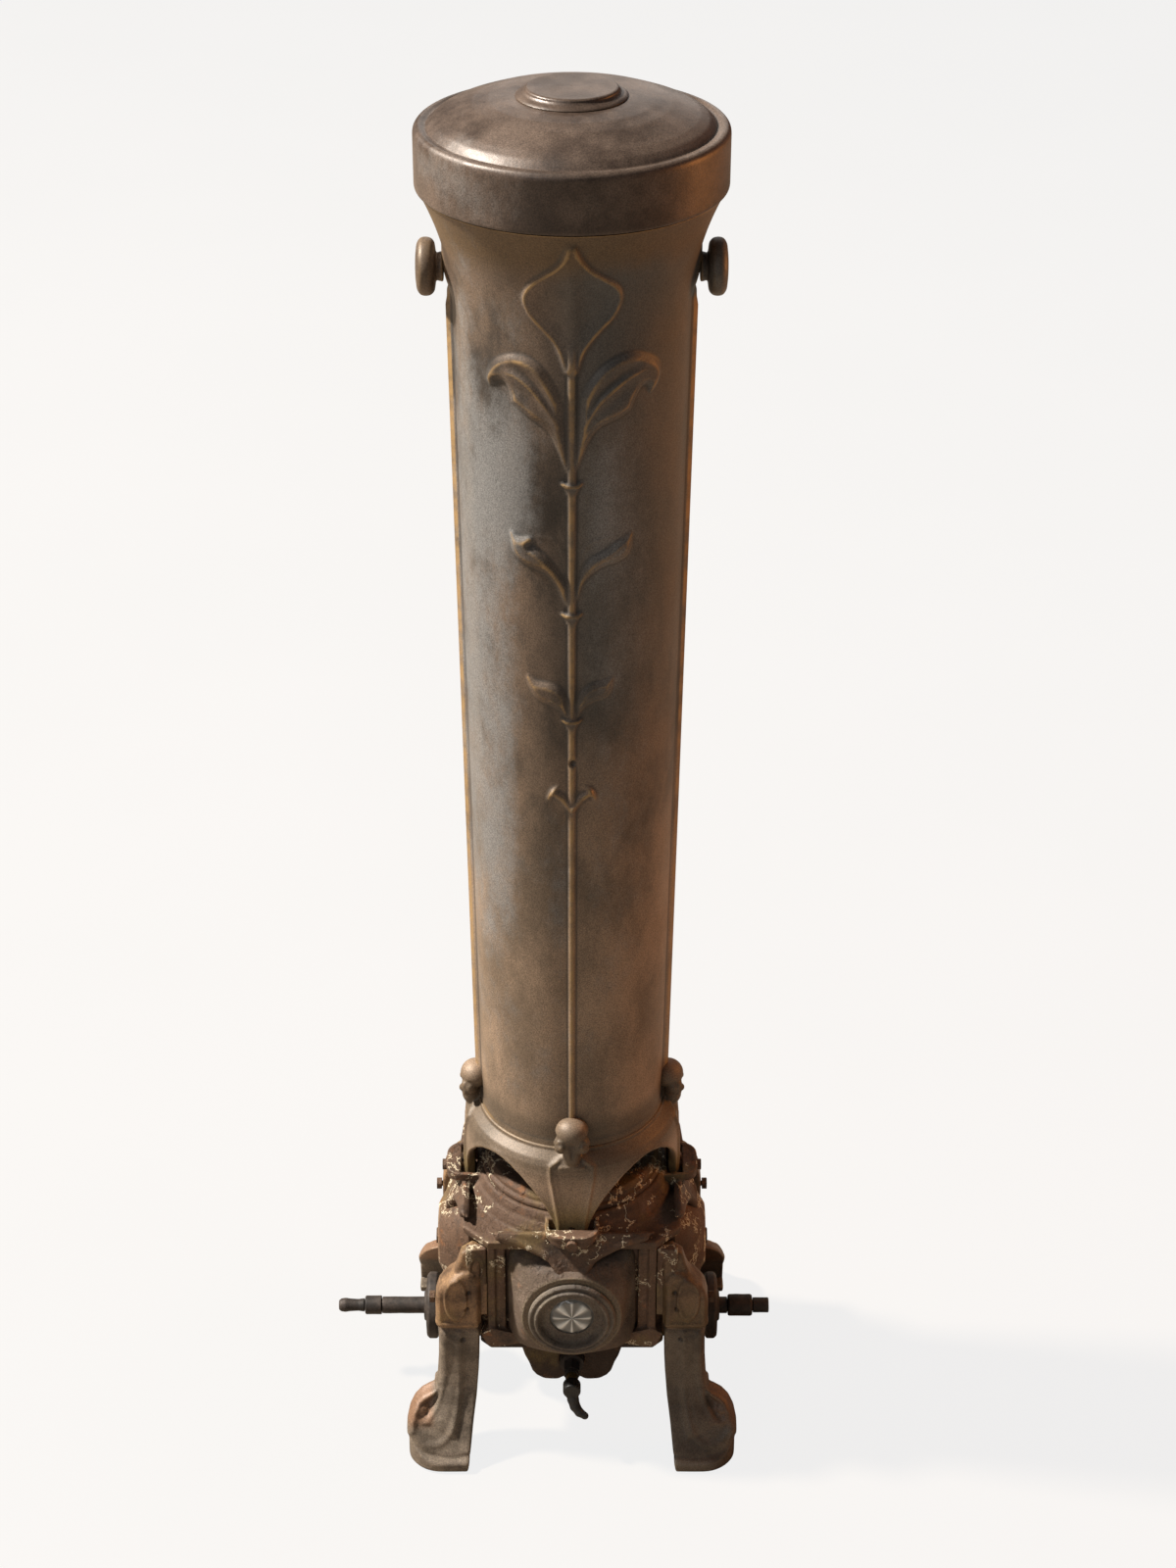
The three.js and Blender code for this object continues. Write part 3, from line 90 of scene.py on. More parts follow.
class Shade:
    """A procedural material, built from small calls that each give back a socket."""

    def __init__(self, name):
        self.material = bpy.data.materials.new(name)
        self.material.use_nodes = True
        self.tree = self.material.node_tree
        self.tree.nodes.clear()
        self.out = self.node("ShaderNodeOutputMaterial")
        self.bsdf = self.node("ShaderNodeBsdfPrincipled")
        self.tree.links.new(self.bsdf.outputs[0], self.out.inputs["Surface"])
        self.place = self.node("ShaderNodeTexCoord").outputs["Object"]

    def node(self, kind, **settings):
        made = self.tree.nodes.new(kind)
        for key, value in settings.items():
            setattr(made, key, value)
        return made

    def put(self, value, socket):
        if isinstance(value, bpy.types.NodeSocket):
            self.tree.links.new(value, socket)
        elif socket.type == "RGBA" and not hasattr(value, "__len__"):
            socket.default_value = (value, value, value, 1)
        elif socket.type == "RGBA":
            socket.default_value = (*value, 1)
        else:
            socket.default_value = value

    def noise(self, scale, detail=4.0, rough=0.55, stretch=None, seed=0.0):
        made = self.node("ShaderNodeTexNoise", noise_dimensions="4D")
        made.inputs["W"].default_value = seed
        made.inputs["Scale"].default_value = scale
        made.inputs["Detail"].default_value = detail
        made.inputs["Roughness"].default_value = rough
        place = self.place
        if stretch:
            mapping = self.node("ShaderNodeMapping")
            mapping.inputs["Scale"].default_value = stretch
            self.put(place, mapping.inputs["Vector"])
            place = mapping.outputs[0]
        self.put(place, made.inputs["Vector"])
        return made.outputs["Fac"]

    def attr(self, name):
        return self.node("ShaderNodeAttribute", attribute_name=name).outputs["Fac"]

    def axis(self, index):
        made = self.node("ShaderNodeSeparateXYZ")
        self.put(self.place, made.inputs[0])
        return made.outputs[index]

    def step(self, value, low, high, to_low=0.0, to_high=1.0):
        made = self.node("ShaderNodeMapRange", interpolation_type="SMOOTHSTEP")
        for socket, v in zip(made.inputs, (value, low, high, to_low, to_high)):
            self.put(v, socket)
        return made.outputs[0]

    def math(self, operation, a, b=0.0):
        made = self.node("ShaderNodeMath", operation=operation)
        self.put(a, made.inputs[0])
        self.put(b, made.inputs[1])
        return made.outputs[0]

    def times(self, *values):
        whole = values[0]
        for value in values[1:]:
            whole = self.math("MULTIPLY", whole, value)
        return whole

    def mix(self, factor, a, b, blend="MIX"):
        made = self.node("ShaderNodeMix", data_type="RGBA", blend_type=blend)
        self.put(factor, made.inputs[0])
        self.put(a, made.inputs[6])
        self.put(b, made.inputs[7])
        return made.outputs[2]

    def bump(self, height, strength, distance, onto=None):
        made = self.node("ShaderNodeBump")
        made.inputs["Strength"].default_value = strength
        made.inputs["Distance"].default_value = distance
        self.put(height, made.inputs["Height"])
        if onto is not None:
            self.put(onto, made.inputs["Normal"])
        return made.outputs[0]

    def finish(self, colour, rough, metallic=0.0, normal=None):
        self.put(colour, self.bsdf.inputs["Base Color"])
        self.put(rough, self.bsdf.inputs["Roughness"])
        self.bsdf.inputs["Metallic"].default_value = metallic
        if normal is not None:
            self.put(normal, self.bsdf.inputs["Normal"])
        return self.material


def bronzed(name, ground, gold=(0.34, 0.21, 0.085), bloom_and_highlight_colour=(0.2, 0.195, 0.19), shine=0.5):
    """Bronzed iron: a brown ground, a pale haze that is partly a real bloom and partly a painted
    highlight, fine specks, gold where it is worn, painted shade in the dark creases.
    ground gets the shade and gives its colour."""
    s = Shade(name)
    colour = ground(s)
    torn = s.noise(48, 9, 0.78, (1, 1, 0.6), 4)
    # the haze mask from the paint attribute is partly a real bloom and partly a painted highlight;
    # it mixes in the pale colour
    bloom_and_highlight_mask = s.step(s.math("ADD", s.attr("paint"), s.times(torn, 1.7)), 1.0, 1.7)
    colour = s.mix(s.times(bloom_and_highlight_mask, 0.8), colour, bloom_and_highlight_colour)
    grain = s.noise(1100, 3, 0.7, None, 2)
    colour = s.mix(1.0, colour, s.step(grain, 0.25, 0.75, 0.5, 1.5), "MULTIPLY")
    worn = s.step(s.attr("convex"), 0.12, 0.6)
    worn = s.times(worn, s.step(s.noise(70, 5, 0.65, None, 3), 0.36, 0.62, 0.3, 1.0))
    # painted shade: concave creases are darkened towards near black
    colour = s.mix(s.step(s.attr("convex"), -0.07, -0.5, 0, 0.6), colour, (0.03, 0.029, 0.028))
    colour = s.mix(s.times(worn, 0.8), colour, gold)
    rough = s.step(s.math("ADD", s.times(bloom_and_highlight_mask, 0.6), s.noise(9, 6, 0.6, None, 1)), 0.35, 1.0,
                   shine, 0.72)
    normal = s.bump(s.noise(420, 5, 0.7), 0.25, 0.0006)
    normal = s.bump(s.noise(60, 3, 0.5, None, 6), 0.2, 0.0012, normal)
    return s.finish(colour, rough, 0.15, normal)


def column_ground(s):
    """Tan at the foot, grey-brown above, a darker cool grey on the right as painted shade, brown
    under the lid, dull on the slope of the foot."""
    x, z = s.axis(0), s.axis(2)
    cloud = s.noise(14, 7, 0.66, (1, 1, 0.55), 1)
    low = s.step(z, 0.66, 0.36)
    dark = s.mix(low, (0.036, 0.027, 0.021), (0.15, 0.105, 0.07))
    light = s.mix(low, (0.15, 0.102, 0.07), (0.275, 0.19, 0.128))
    colour = s.mix(s.step(cloud, 0.38, 0.6), dark, light)
    # painted shade: the upper right side, away from the key lamp, is turned a darker cool grey
    right_side_shade = s.times(s.step(z, 0.52, 0.7), s.step(s.math("ADD", x, s.times(cloud, 0.05)), 0.0, 0.04))
    colour = s.mix(s.times(right_side_shade, 0.7), colour, (0.088, 0.088, 0.084))
    neck = s.step(s.math("ADD", z, s.times(cloud, 0.03)), 0.918, 0.94)
    colour = s.mix(s.times(neck, 0.75), colour, (0.115, 0.066, 0.024))
    slope = s.times(s.step(z, 0.29, 0.274), s.step(z, 0.232, 0.25))
    colour = s.mix(s.times(slope, 0.62), colour, (0.05, 0.038, 0.024))
    tip = s.step(z, 0.228, 0.205)
    return s.mix(s.times(tip, 0.7), colour, (0.19, 0.135, 0.05))


def lid_ground(s):
    cloud = s.noise(20, 7, 0.66, None, 1)
    return s.mix(s.step(cloud, 0.36, 0.64), (0.045, 0.029, 0.021), (0.118, 0.082, 0.062))


def leg_ground(s):
    """Rust-brown and ochre at the knee, grey-brown stem, red-brown ear, with painted shade
    darkening the legs on the right.
    """
    x, z = s.axis(0), s.axis(2)
    cloud = s.noise(38, 8, 0.7, None, 1)
    stem = s.mix(s.step(cloud, 0.36, 0.62), (0.085, 0.064, 0.046), (0.2, 0.155, 0.115))
    knee = s.mix(s.step(cloud, 0.4, 0.6), (0.09, 0.048, 0.024), (0.26, 0.15, 0.075))
    colour = s.mix(s.step(z, 0.1, 0.112), stem, knee)
    ochre = s.times(s.step(s.noise(22, 5, 0.6, None, 9), 0.48, 0.6), s.step(z, 0.1, 0.12))
    colour = s.mix(s.times(ochre, 0.6), colour, (0.21, 0.14, 0.05))
    ear = s.times(s.step(s.math("ABSOLUTE", x), 0.099, 0.105), s.step(z, 0.026, 0.036))
    colour = s.mix(s.times(ear, 0.7), colour, (0.23, 0.115, 0.06))
    # painted shade: the legs on the right, away from the key lamp, are darkened towards dark brown
    return s.mix(s.step(x, 0.0, 0.03, 0, 0.5), colour, (0.035, 0.022, 0.013))


def rusted(name, paint=1.0, tone=1.0, gold=(0.24, 0.15, 0.09), grey=0.0):
    """Rusted iron: brown, pinkish and ochre patches, thin torn lines of cream paint, pits."""
    s = Shade(name)
    patch = s.noise(26, 8, 0.68, None, 11)
    deep = [c * tone for c in (0.034, 0.02, 0.013)]
    brown = [c * tone for c in (0.115, 0.064, 0.038)]
    pink = [c * tone for c in (0.2, 0.125, 0.086)]
    colour = s.mix(s.step(patch, 0.34, 0.5), deep, brown)
    colour = s.mix(s.step(patch, 0.54, 0.68, 0, 0.85), colour, pink)
    ember = s.times(s.step(s.noise(75, 6, 0.7, None, 12), 0.56, 0.68), 0.65)
    colour = s.mix(ember, colour, (0.25, 0.1, 0.035))
    ochre = s.times(s.step(s.noise(17, 5, 0.6, None, 16), 0.52, 0.64), 0.5)
    colour = s.mix(ochre, colour, (0.19, 0.13, 0.045))
    colour = s.mix(grey, colour, s.mix(s.step(patch, 0.4, 0.62), (0.07, 0.062, 0.052),
                                       (0.17, 0.15, 0.12)))
    convex = s.attr("convex")
    colour = s.mix(s.times(s.step(convex, 0.12, 0.6), 0.6), colour, gold)
    # painted shade: hollows are darkened towards near black
    colour = s.mix(s.step(convex, -0.06, -0.45, 0, 0.85), colour, (0.012, 0.009, 0.008))
    torn = s.noise(44, 6, 0.66, None, 13)
    line = s.step(s.math("ABSOLUTE", s.math("SUBTRACT", torn, 0.5)), 0.013, 0.006)
    area = s.step(s.noise(19, 3, 0.6, None, 14), 0.46, 0.52)
    fine = s.noise(180, 5, 0.7, None, 17)
    edge = s.times(s.step(convex, 0.16, 0.4), s.step(fine, 0.52, 0.58), s.step(patch, 0.44, 0.54))
    flake = s.math("MAXIMUM", s.times(line, area, s.step(fine, 0.3, 0.36)), edge)
    flake = s.math("MAXIMUM", s.times(flake, paint),
                   s.times(s.attr("paint"), s.step(fine, 0.4, 0.5)))
    colour = s.mix(s.step(flake, 0.25, 0.75), colour, (0.62, 0.52, 0.37))
    grain = s.noise(800, 4, 0.7, None, 2)
    colour = s.mix(1.0, colour, s.step(grain, 0.25, 0.75, 0.62, 1.38), "MULTIPLY")
    rough = s.step(patch, 0.35, 0.7, 0.58, 0.86)
    normal = s.bump(s.noise(300, 6, 0.75), 0.6, 0.001)
    normal = s.bump(s.step(torn, 0.46, 0.54), 0.6, 0.0008, normal)
    normal = s.bump(s.noise(34, 3, 0.5, None, 18), 0.3, 0.003, normal)
    return s.finish(colour, rough, 0.15, normal)


def plain_iron(name, dark, mid, rough, metallic, grain_size=500):
    """Painted or bare iron with soft clouding, grain and worn edges."""
    s = Shade(name)
    colour = s.mix(s.step(s.noise(60, 6, 0.65), 0.35, 0.65), dark, mid)
    colour = s.mix(s.step(s.attr("convex"), 0.08, 0.45, 0, 0.45), colour,
                   [min(1, c * 2.2 + 0.03) for c in mid])
    grain = s.noise(grain_size, 5, 0.7, None, 2)
    colour = s.mix(1.0, colour, s.step(grain, 0.25, 0.75, 0.7, 1.3), "MULTIPLY")
    normal = s.bump(grain, 0.35, 0.0006)
    return s.finish(colour, s.step(grain, 0.3, 0.7, rough - 0.08, rough + 0.1), metallic, normal)


def glass_shade():
    """Pressed glass: pale facets and dark ones, with soot in the hollows."""
    s = Shade("pressed_glass")
    soot = s.step(s.noise(260, 5, 0.6), 0.4, 0.66)
    colour = s.mix(s.attr("paint"), (0.07, 0.07, 0.064), (0.92, 0.91, 0.86))
    colour = s.mix(s.times(soot, 0.25), colour, (0.16, 0.155, 0.14))
    s.bsdf.inputs["IOR"].default_value = 1.5
    s.bsdf.inputs["Transmission Weight"].default_value = 0.12
    normal = s.bump(s.noise(700, 3, 0.5), 0.12, 0.0003)
    return s.finish(colour, 0.14, 0.0, normal)


column_skin = bronzed("bronzed_column", column_ground)
lid_skin = bronzed("bronzed_lid", lid_ground, (0.27, 0.19, 0.09), (0.17, 0.15, 0.135), 0.34)
leg_skin = bronzed("bronzed_leg", leg_ground, (0.25, 0.19, 0.11), (0.3, 0.27, 0.24), 0.5)
rust_skin = rusted("rusted_base", 0.8)
rust_heavy = rusted("rusted_ring", 1.0, 0.8)
rust_dark = rusted("rusted_dish", 0.3, 0.35)
rust_plain = rusted("rusted_fastener", 0.3, 0.85)
panel_skin = rusted("rusted_panel", 0.1, 0.95, (0.2, 0.155, 0.1), 0.38)
bezel_skin = rusted("worn_bezel", 0.0, 0.95, (0.24, 0.19, 0.12), 0.7)
pipe_skin = plain_iron("pipe_iron", (0.022, 0.018, 0.016), (0.06, 0.045, 0.037), 0.62, 0.35)
sheet_skin = plain_iron("flue_sheet", (0.05, 0.038, 0.03), (0.11, 0.085, 0.068), 0.6, 0.6)
black_skin = plain_iron("black_lever", (0.004, 0.004, 0.004), (0.009, 0.008, 0.008), 0.5, 0.0)
brass_skin = plain_iron("dull_brass", (0.16, 0.11, 0.045), (0.27, 0.19, 0.08), 0.4, 0.8)
felt_skin = plain_iron("gasket_weave", (0.01, 0.01, 0.009), (0.03, 0.028, 0.025), 0.9, 0.0, 900)
glass_skin = glass_shade()

# ------------------------------------------------------------ floor and world


def make_stage():
    s = Shade("pale_floor")
    seen = s.node("ShaderNodeLightPath").outputs["Is Camera Ray"]
    pale = s.mix(s.step(s.noise(2, 3), 0.3, 0.7), (0.27, 0.225, 0.175), (0.3, 0.25, 0.2))
    s.finish(pale, 0.9)
    glow = s.node("ShaderNodeEmission")
    glow.inputs["Strength"].default_value = 1.0
    blend = s.node("ShaderNodeMixShader")
    s.put(s.times(seen, 0.84), blend.inputs[0])
    s.put(s.bsdf.outputs[0], blend.inputs[1])
    s.put(glow.outputs[0], blend.inputs[2])
    s.put(blend.outputs[0], s.out.inputs["Surface"])
    mesh = bpy.data.meshes.new("floor")
    mesh.from_pydata([(-15, -8, 0), (15, -8, 0), (15, 22, 0), (-15, 22, 0)], [], [(0, 1, 2, 3)])
    floor = bpy.data.objects.new("floor", mesh)
    mesh.materials.append(s.material)
    scene.collection.objects.link(floor)
    floor.location.z = -0.0005


make_stage()
world = bpy.data.worlds.new("studio")
scene.world = world
world.use_nodes = True
nodes_of, link = world.node_tree.nodes, world.node_tree.links.new
path = nodes_of.new("ShaderNodeLightPath")
seen = nodes_of.new("ShaderNodeMath")
seen.operation = "MAXIMUM"
link(path.outputs["Is Camera Ray"], seen.inputs[0])
link(path.outputs["Is Transmission Ray"], seen.inputs[1])
bright = nodes_of.new("ShaderNodeMapRange")
link(seen.outputs[0], bright.inputs["Value"])
bright.inputs["To Min"].default_value = 0.1
bright.inputs["To Max"].default_value = 1.0
nodes_of["Background"].inputs["Color"].default_value = (1, 1, 1, 1)
link(bright.outputs[0], nodes_of["Background"].inputs["Strength"])

# ------------------------------------------------------------ meshes


def convexity(mesh, rounds):
    """How far each vertex stands out of its smoothed surroundings, in millimetres."""
    n = len(mesh.vertices)
    place = np.empty(n * 3)
    mesh.vertices.foreach_get("co", place)
    place = place.reshape(n, 3) / MM
    normal = np.empty(n * 3)
    mesh.vertex_normals.foreach_get("vector", normal)
    ends = np.empty(len(mesh.edges) * 2, np.int64)
    mesh.edges.foreach_get("vertices", ends)
    a, b = ends[0::2], ends[1::2]
    count = np.maximum(np.bincount(a, minlength=n) + np.bincount(b, minlength=n), 1)
    soft = place.copy()
    for _ in range(rounds):
        total = np.stack([np.bincount(a, soft[b, k], n) + np.bincount(b, soft[a, k], n)
                          for k in range(3)], 1)
        soft = (soft + total / count[:, None]) / 2
    return ((place - soft) * normal.reshape(n, 3)).sum(1)


def piece(name, points, faces, material, slot, body="stove", stands_for=(), rounds=8, paint=None):
    """Makes a smooth mesh object from points in millimetres and an array of faces."""
    points = np.asarray(points, np.float64)
    faces = np.asarray(faces, np.int64)
    corners = points[faces]
    volume = (np.cross(corners[:, 0], corners[:, 1]) * corners[:, 2]).sum()
    if faces.shape[1] == 4:
        volume += (np.cross(corners[:, 0], corners[:, 2]) * corners[:, 3]).sum()
    if volume < 0:
        faces = faces[:, ::-1]
    mesh = bpy.data.meshes.new(name)
    mesh.vertices.add(len(points))
    mesh.vertices.foreach_set("co", (points * MM).ravel())
    mesh.loops.add(faces.size)
    mesh.loops.foreach_set("vertex_index", faces.ravel())
    mesh.polygons.add(len(faces))
    mesh.polygons.foreach_set("loop_start", np.arange(0, faces.size, faces.shape[1]))
    mesh.polygons.foreach_set("use_smooth", np.ones(len(faces), bool))
    mesh.update(calc_edges=True)
    mesh.validate()
    out = mesh.attributes.new("convex", "FLOAT", "POINT")
    out.data.foreach_set("value", convexity(mesh, rounds))
    out = mesh.attributes.new("paint", "FLOAT", "POINT")
    out.data.foreach_set("value", np.zeros(len(points)) if paint is None else paint(points))
    mesh.materials.append(material)
    obj = bpy.data.objects.new(name, mesh)
    scene.collection.objects.link(obj)
    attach(obj, body)
    if stands_for:
        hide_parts(*stands_for)
    return obj


def rounded(profile, radius, steps=4):
    """The closed profile with each corner replaced by a short curve."""
    profile = [np.array(p, float) for p in profile]
    out = []
    for i, here in enumerate(profile):
        before, after = profile[i - 1], profile[(i + 1) % len(profile)]
        reach = min(radius, 0.45 * np.linalg.norm(before - here),
                    0.45 * np.linalg.norm(after - here))
        a = here + (before - here) / np.linalg.norm(before - here) * reach
        b = here + (after - here) / np.linalg.norm(after - here) * reach
        for t in np.linspace(0, 1, steps):
            out.append((1 - t) ** 2 * a + 2 * t * (1 - t) * here + t * t * b)
    return np.array(out)


def finer(profile, most):
    """The closed profile with long sides divided."""
    out = []
    for i, a in enumerate(profile):
        b = profile[(i + 1) % len(profile)]
        parts = max(1, math.ceil(np.linalg.norm(b - a) / most))
        out += [a + (b - a) * k / parts for k in range(parts)]
    return np.array(out)


def net(rows, columns, open_rows=False, open_columns=False):
    """The four-sided faces of points laid out in rows, closed on themselves unless left open."""
    i, j = np.meshgrid(np.arange(rows - open_rows), np.arange(columns - open_columns),
                       indexing="ij")
    i2, j2 = (i + 1) % rows, (j + 1) % columns
    return np.stack([i * columns + j, i2 * columns + j, i2 * columns + j2, i * columns + j2],
                    -1).reshape(-1, 4)


def lathe(profile, segments, axis="z", at=(0, 0, 0), radius=1.0, most=4.0, shape=None):
    """Turns a closed profile of (radius, height) pairs round x, y or z, height along +axis."""
    profile = finer(rounded(profile, radius), most)
    n = len(profile)
    angle = np.linspace(0, 2 * np.pi, segments, endpoint=False)
    r = np.repeat(profile[None, :, 0], segments, 0)
    h = np.repeat(profile[None, :, 1], segments, 0)
    if shape is not None:
        r, h = shape(r, h, angle[:, None])
    c, s = np.cos(angle)[:, None], np.sin(angle)[:, None]
    if axis == "z":
        points = np.stack([r * c, r * s, h], -1)
    elif axis == "x":
        points = np.stack([h, r * c, r * s], -1)
    else:
        points = np.stack([r * s, h, r * c], -1)
    return points.reshape(-1, 3) + np.array(at), net(segments, n)


def value_noise(points, size, seed=0):
    """Smooth noise from -1 to 1, with features about size millimetres across."""
    p = points / size
    cell = np.floor(p).astype(np.int64)
    f = p - cell
    f = f * f * (3 - 2 * f)
    total = 0
    for corner in range(8):
        d = np.array([corner & 1, corner >> 1 & 1, corner >> 2 & 1])
        c = cell + d
        h = (c[..., 0] * 73856093) ^ (c[..., 1] * 19349663) ^ (c[..., 2] * 83492791) ^ (seed * 7919)
        h = (h ^ (h >> 13)) * 1274126177 & 0xFFFFFF
        w = np.prod(np.where(d, f, 1 - f), axis=-1)
        total = total + w * (h / 0xFFFFFF * 2 - 1)
    return total


# ------------------------------------------------------------ distance fields


def bell(distance, width, power=2):
    return np.exp(-((distance / width) ** power))


def ramp(value, length):
    """Rises from 0 to 1 while value goes from 0 to length."""
    return np.clip(value / length, 0, 1)


def smin(a, b, k):
    h = np.clip(0.5 + 0.5 * (b - a) / k, 0, 1)
    return b + (a - b) * h - k * h * (1 - h)


def smax(a, b, k):
    return -smin(-a, -b, k)


def polyline(u, v, points, closed=False):
    """Distance from (u, v) to a line through points."""
    points = [np.array(p, np.float32) for p in points]
    pairs = zip(points, points[1:] + points[:1] if closed else points[1:])
    d = np.float32(1e9)
    for a, b in pairs:
        e = b - a
        t = np.clip(((u - a[0]) * e[0] + (v - a[1]) * e[1]) / max(float(e @ e), 1e-9), 0, 1)
        d = np.minimum(d, (u - a[0] - e[0] * t) ** 2 + (v - a[1] - e[1] * t) ** 2)
    return np.sqrt(d)


def polygon(u, v, points):
    """Signed distance to a closed outline, negative inside."""
    d = polyline(u, v, points, True)
    inside = np.zeros(d.shape, bool)
    for (au, av), (bu, bv) in zip(points, points[1:] + points[:1]):
        if av != bv:
            inside ^= ((av > v) != (bv > v)) & (u < (bu - au) * (v - av) / (bv - av) + au)
    return np.where(inside, -d, d)


def block(x, y, z, low, high, r=0.0):
    q = [np.abs(c - (a + b) / 2) - (b - a) / 2 + r for c, a, b in zip((x, y, z), low, high)]
    outside = np.sqrt(sum(np.maximum(c, 0) ** 2 for c in q))
    return outside + np.minimum(np.maximum(np.maximum(q[0], q[1]), q[2]), 0) - r


def ball(x, y, z, centre, radii):
    x, y, z = x - centre[0], y - centre[1], z - centre[2]
    k0 = np.sqrt((x / radii[0]) ** 2 + (y / radii[1]) ** 2 + (z / radii[2]) ** 2)
    k1 = np.sqrt((x / radii[0] ** 2) ** 2 + (y / radii[1] ** 2) ** 2 + (z / radii[2] ** 2) ** 2)
    return k0 * (k0 - 1) / np.maximum(k1, 1e-6)


def octagon(u, v, half, corner):
    """Signed distance to a square with bevelled corners, for u and v already made positive."""
    return np.maximum(np.maximum(u, v) - half, (u + v - corner) / math.sqrt(2))


def between(low, high, z):
    return np.maximum(low - z, z - high)


class Grid:
    """Sample points of a box, and the mesh of the zero level of a field on them."""

    def __init__(self, low, high, step):
        self.low, self.step = np.array(low, float), step
        x, y, z = [np.arange(a, b + step, step, dtype=np.float32) for a, b in zip(low, high)]
        self.x, self.y, self.z = x[:, None, None], y[None, :, None], z[None, None, :]

    def mesh(self, field):
        grid = vdb.FloatGrid(4.0)
        grid.copyFromArray(np.ascontiguousarray(np.clip(field, -4, 4), np.float32))
        points, faces = grid.convertToQuads(0.0)
        return points * self.step + self.low, faces.astype(np.int64)


def four_sided(reach, z0, z1, step, field):
    """The mesh of a field that is alike on all four sides and in each side's mirror.
    field gets u, across a side, v, outwards from the axis, and z."""
    count = int(reach / step)
    axis = np.arange(-count, count + 1) * step
    half = axis[count:].astype(np.float32)
    z = np.arange(z0, z1 + step, step, dtype=np.float32)
    eighth = field(half[None, :, None], half[:, None, None], z[None, None, :])
    i = np.abs(np.arange(-count, count + 1))
    v, u = np.maximum(i[:, None], i[None, :]), np.minimum(i[:, None], i[None, :])
    whole = eighth[v, u]
    grid = Grid((-count * step, -count * step, z0), (0, 0, 0), step)
    return grid.mesh(whole)


# ------------------------------------------------------------ column

BEAD_Z, NECK_Z, TOP_Z = 260.0, 862.0, 940.0
KNOB_Z, SCREW_Z = 888.0, 195.0


def shaft_r(z):
    straight = 64.5 + 9.0 * np.clip((z - BEAD_Z) / (NECK_Z - BEAD_Z), None, 1)
    flare = np.clip((z - NECK_Z) / (TOP_Z - NECK_Z), 0, None)
    return straight + 19.5 * flare ** 2


def ridge(a, z, line, width, height, taper=True):
    """A rounded ridge along a line drawn in arc length and height."""
    line = [np.array(p, float) for p in line]
    lengths = np.cumsum([0] + [np.linalg.norm(q - p) for p, q in zip(line, line[1:])])
    best = np.full(a.shape, 1e9)
    along = np.zeros(a.shape)
    for p, q, start in zip(line, line[1:], lengths):
        e = q - p
        t = ramp((a - p[0]) * e[0] + (z - p[1]) * e[1], e @ e)
        d = np.hypot(a - p[0] - e[0] * t, z - p[1] - e[1] * t)
        nearer = d < best
        best = np.where(nearer, d, best)
        along = np.where(nearer, (start + t * np.linalg.norm(e)) / lengths[-1], along)
    swell = np.sqrt(np.clip(np.sin(np.pi * np.clip(along, 0.02, 0.98)), 0, 1)) if taper else 1.0
    return height * swell * bell(best, width)


def smooth_line(points, rounds=2):
    points = [np.array(p, float) for p in points]
    for _ in range(rounds):
        cut = [points[0]]
        for p, q in zip(points, points[1:]):
            cut += [0.75 * p + 0.25 * q, 0.25 * p + 0.75 * q]
        points = cut + [points[-1]]
    return [tuple(p) for p in points]


def blade(a, z, outline, height, soft):
    """A low cushion inside an outline."""
    inside = np.clip(-polygon(a, z, outline), 0, None)
    return height * (1 - np.exp(-inside / soft))


BUD_L = [(-1.5, 931), (-4.6, 921.5), (-9.5, 915.6), (-15.6, 911.4), (-24, 904.8), (-28.4, 897.6),
         (-28.5, 891.9), (-24.2, 882.9), (-15.8, 874.2), (-9.4, 867.3), (-5.7, 858.7), (-3, 849)]
BUD_R = [(1.5, 931), (5.4, 921.5), (11, 914.6), (19.7, 908.6), (26.4, 903.6), (29.4, 897.5),
         (28.4, 890.9), (24.6, 882.9), (17.1, 876), (9.8, 867.3), (5.2, 859.7), (3, 849)]
LEAF1_L = dict(
    up=[(-7.6, 829.1), (-12.2, 839.7), (-17.8, 849.1), (-24.4, 854.3), (-31.3, 856.2),
        (-39.5, 855.2), (-48.5, 850.7), (-54.7, 843.1), (-56.2, 836.8), (-53.7, 833.4)],
    mid=[(-7.7, 813.1), (-13.2, 822.7), (-17.9, 829.3), (-24.5, 837.5), (-31.4, 842.4),
         (-36.5, 844.4), (-43, 845.1)],
    curl=[(-53, 834.4), (-48.7, 839.2), (-43, 840.1), (-38.8, 835.1), (-36.8, 826.5)],
    low=[(-2.5, 784), (-7.7, 799.9), (-12.3, 809.8), (-18, 815.3), (-23.7, 817.6),
         (-29.6, 821.8), (-36.8, 826.5)])
LEAF1_R = dict(
    up=[(7.1, 832.1), (10.8, 840.8), (17.2, 849.2), (24.8, 854.2), (32.7, 856.9), (40, 856.6),
        (49, 852.6), (56.4, 847.6), (59.2, 840.9), (56.8, 833.6), (51.9, 829.9)],
    mid=[(7.7, 813), (11.8, 821.8), (17.3, 830.4), (25, 836.4), (32.9, 842.1), (40.2, 844.7),
         (46, 846)],
    curl=[(52.4, 830.4), (49.3, 836.6), (43.6, 836), (39.5, 830), (36, 822)],
    low=[(2.5, 786), (5.3, 793.9), (9, 804.9), (15.5, 813.5), (22.2, 816.3), (29, 818),
         (36, 822)])
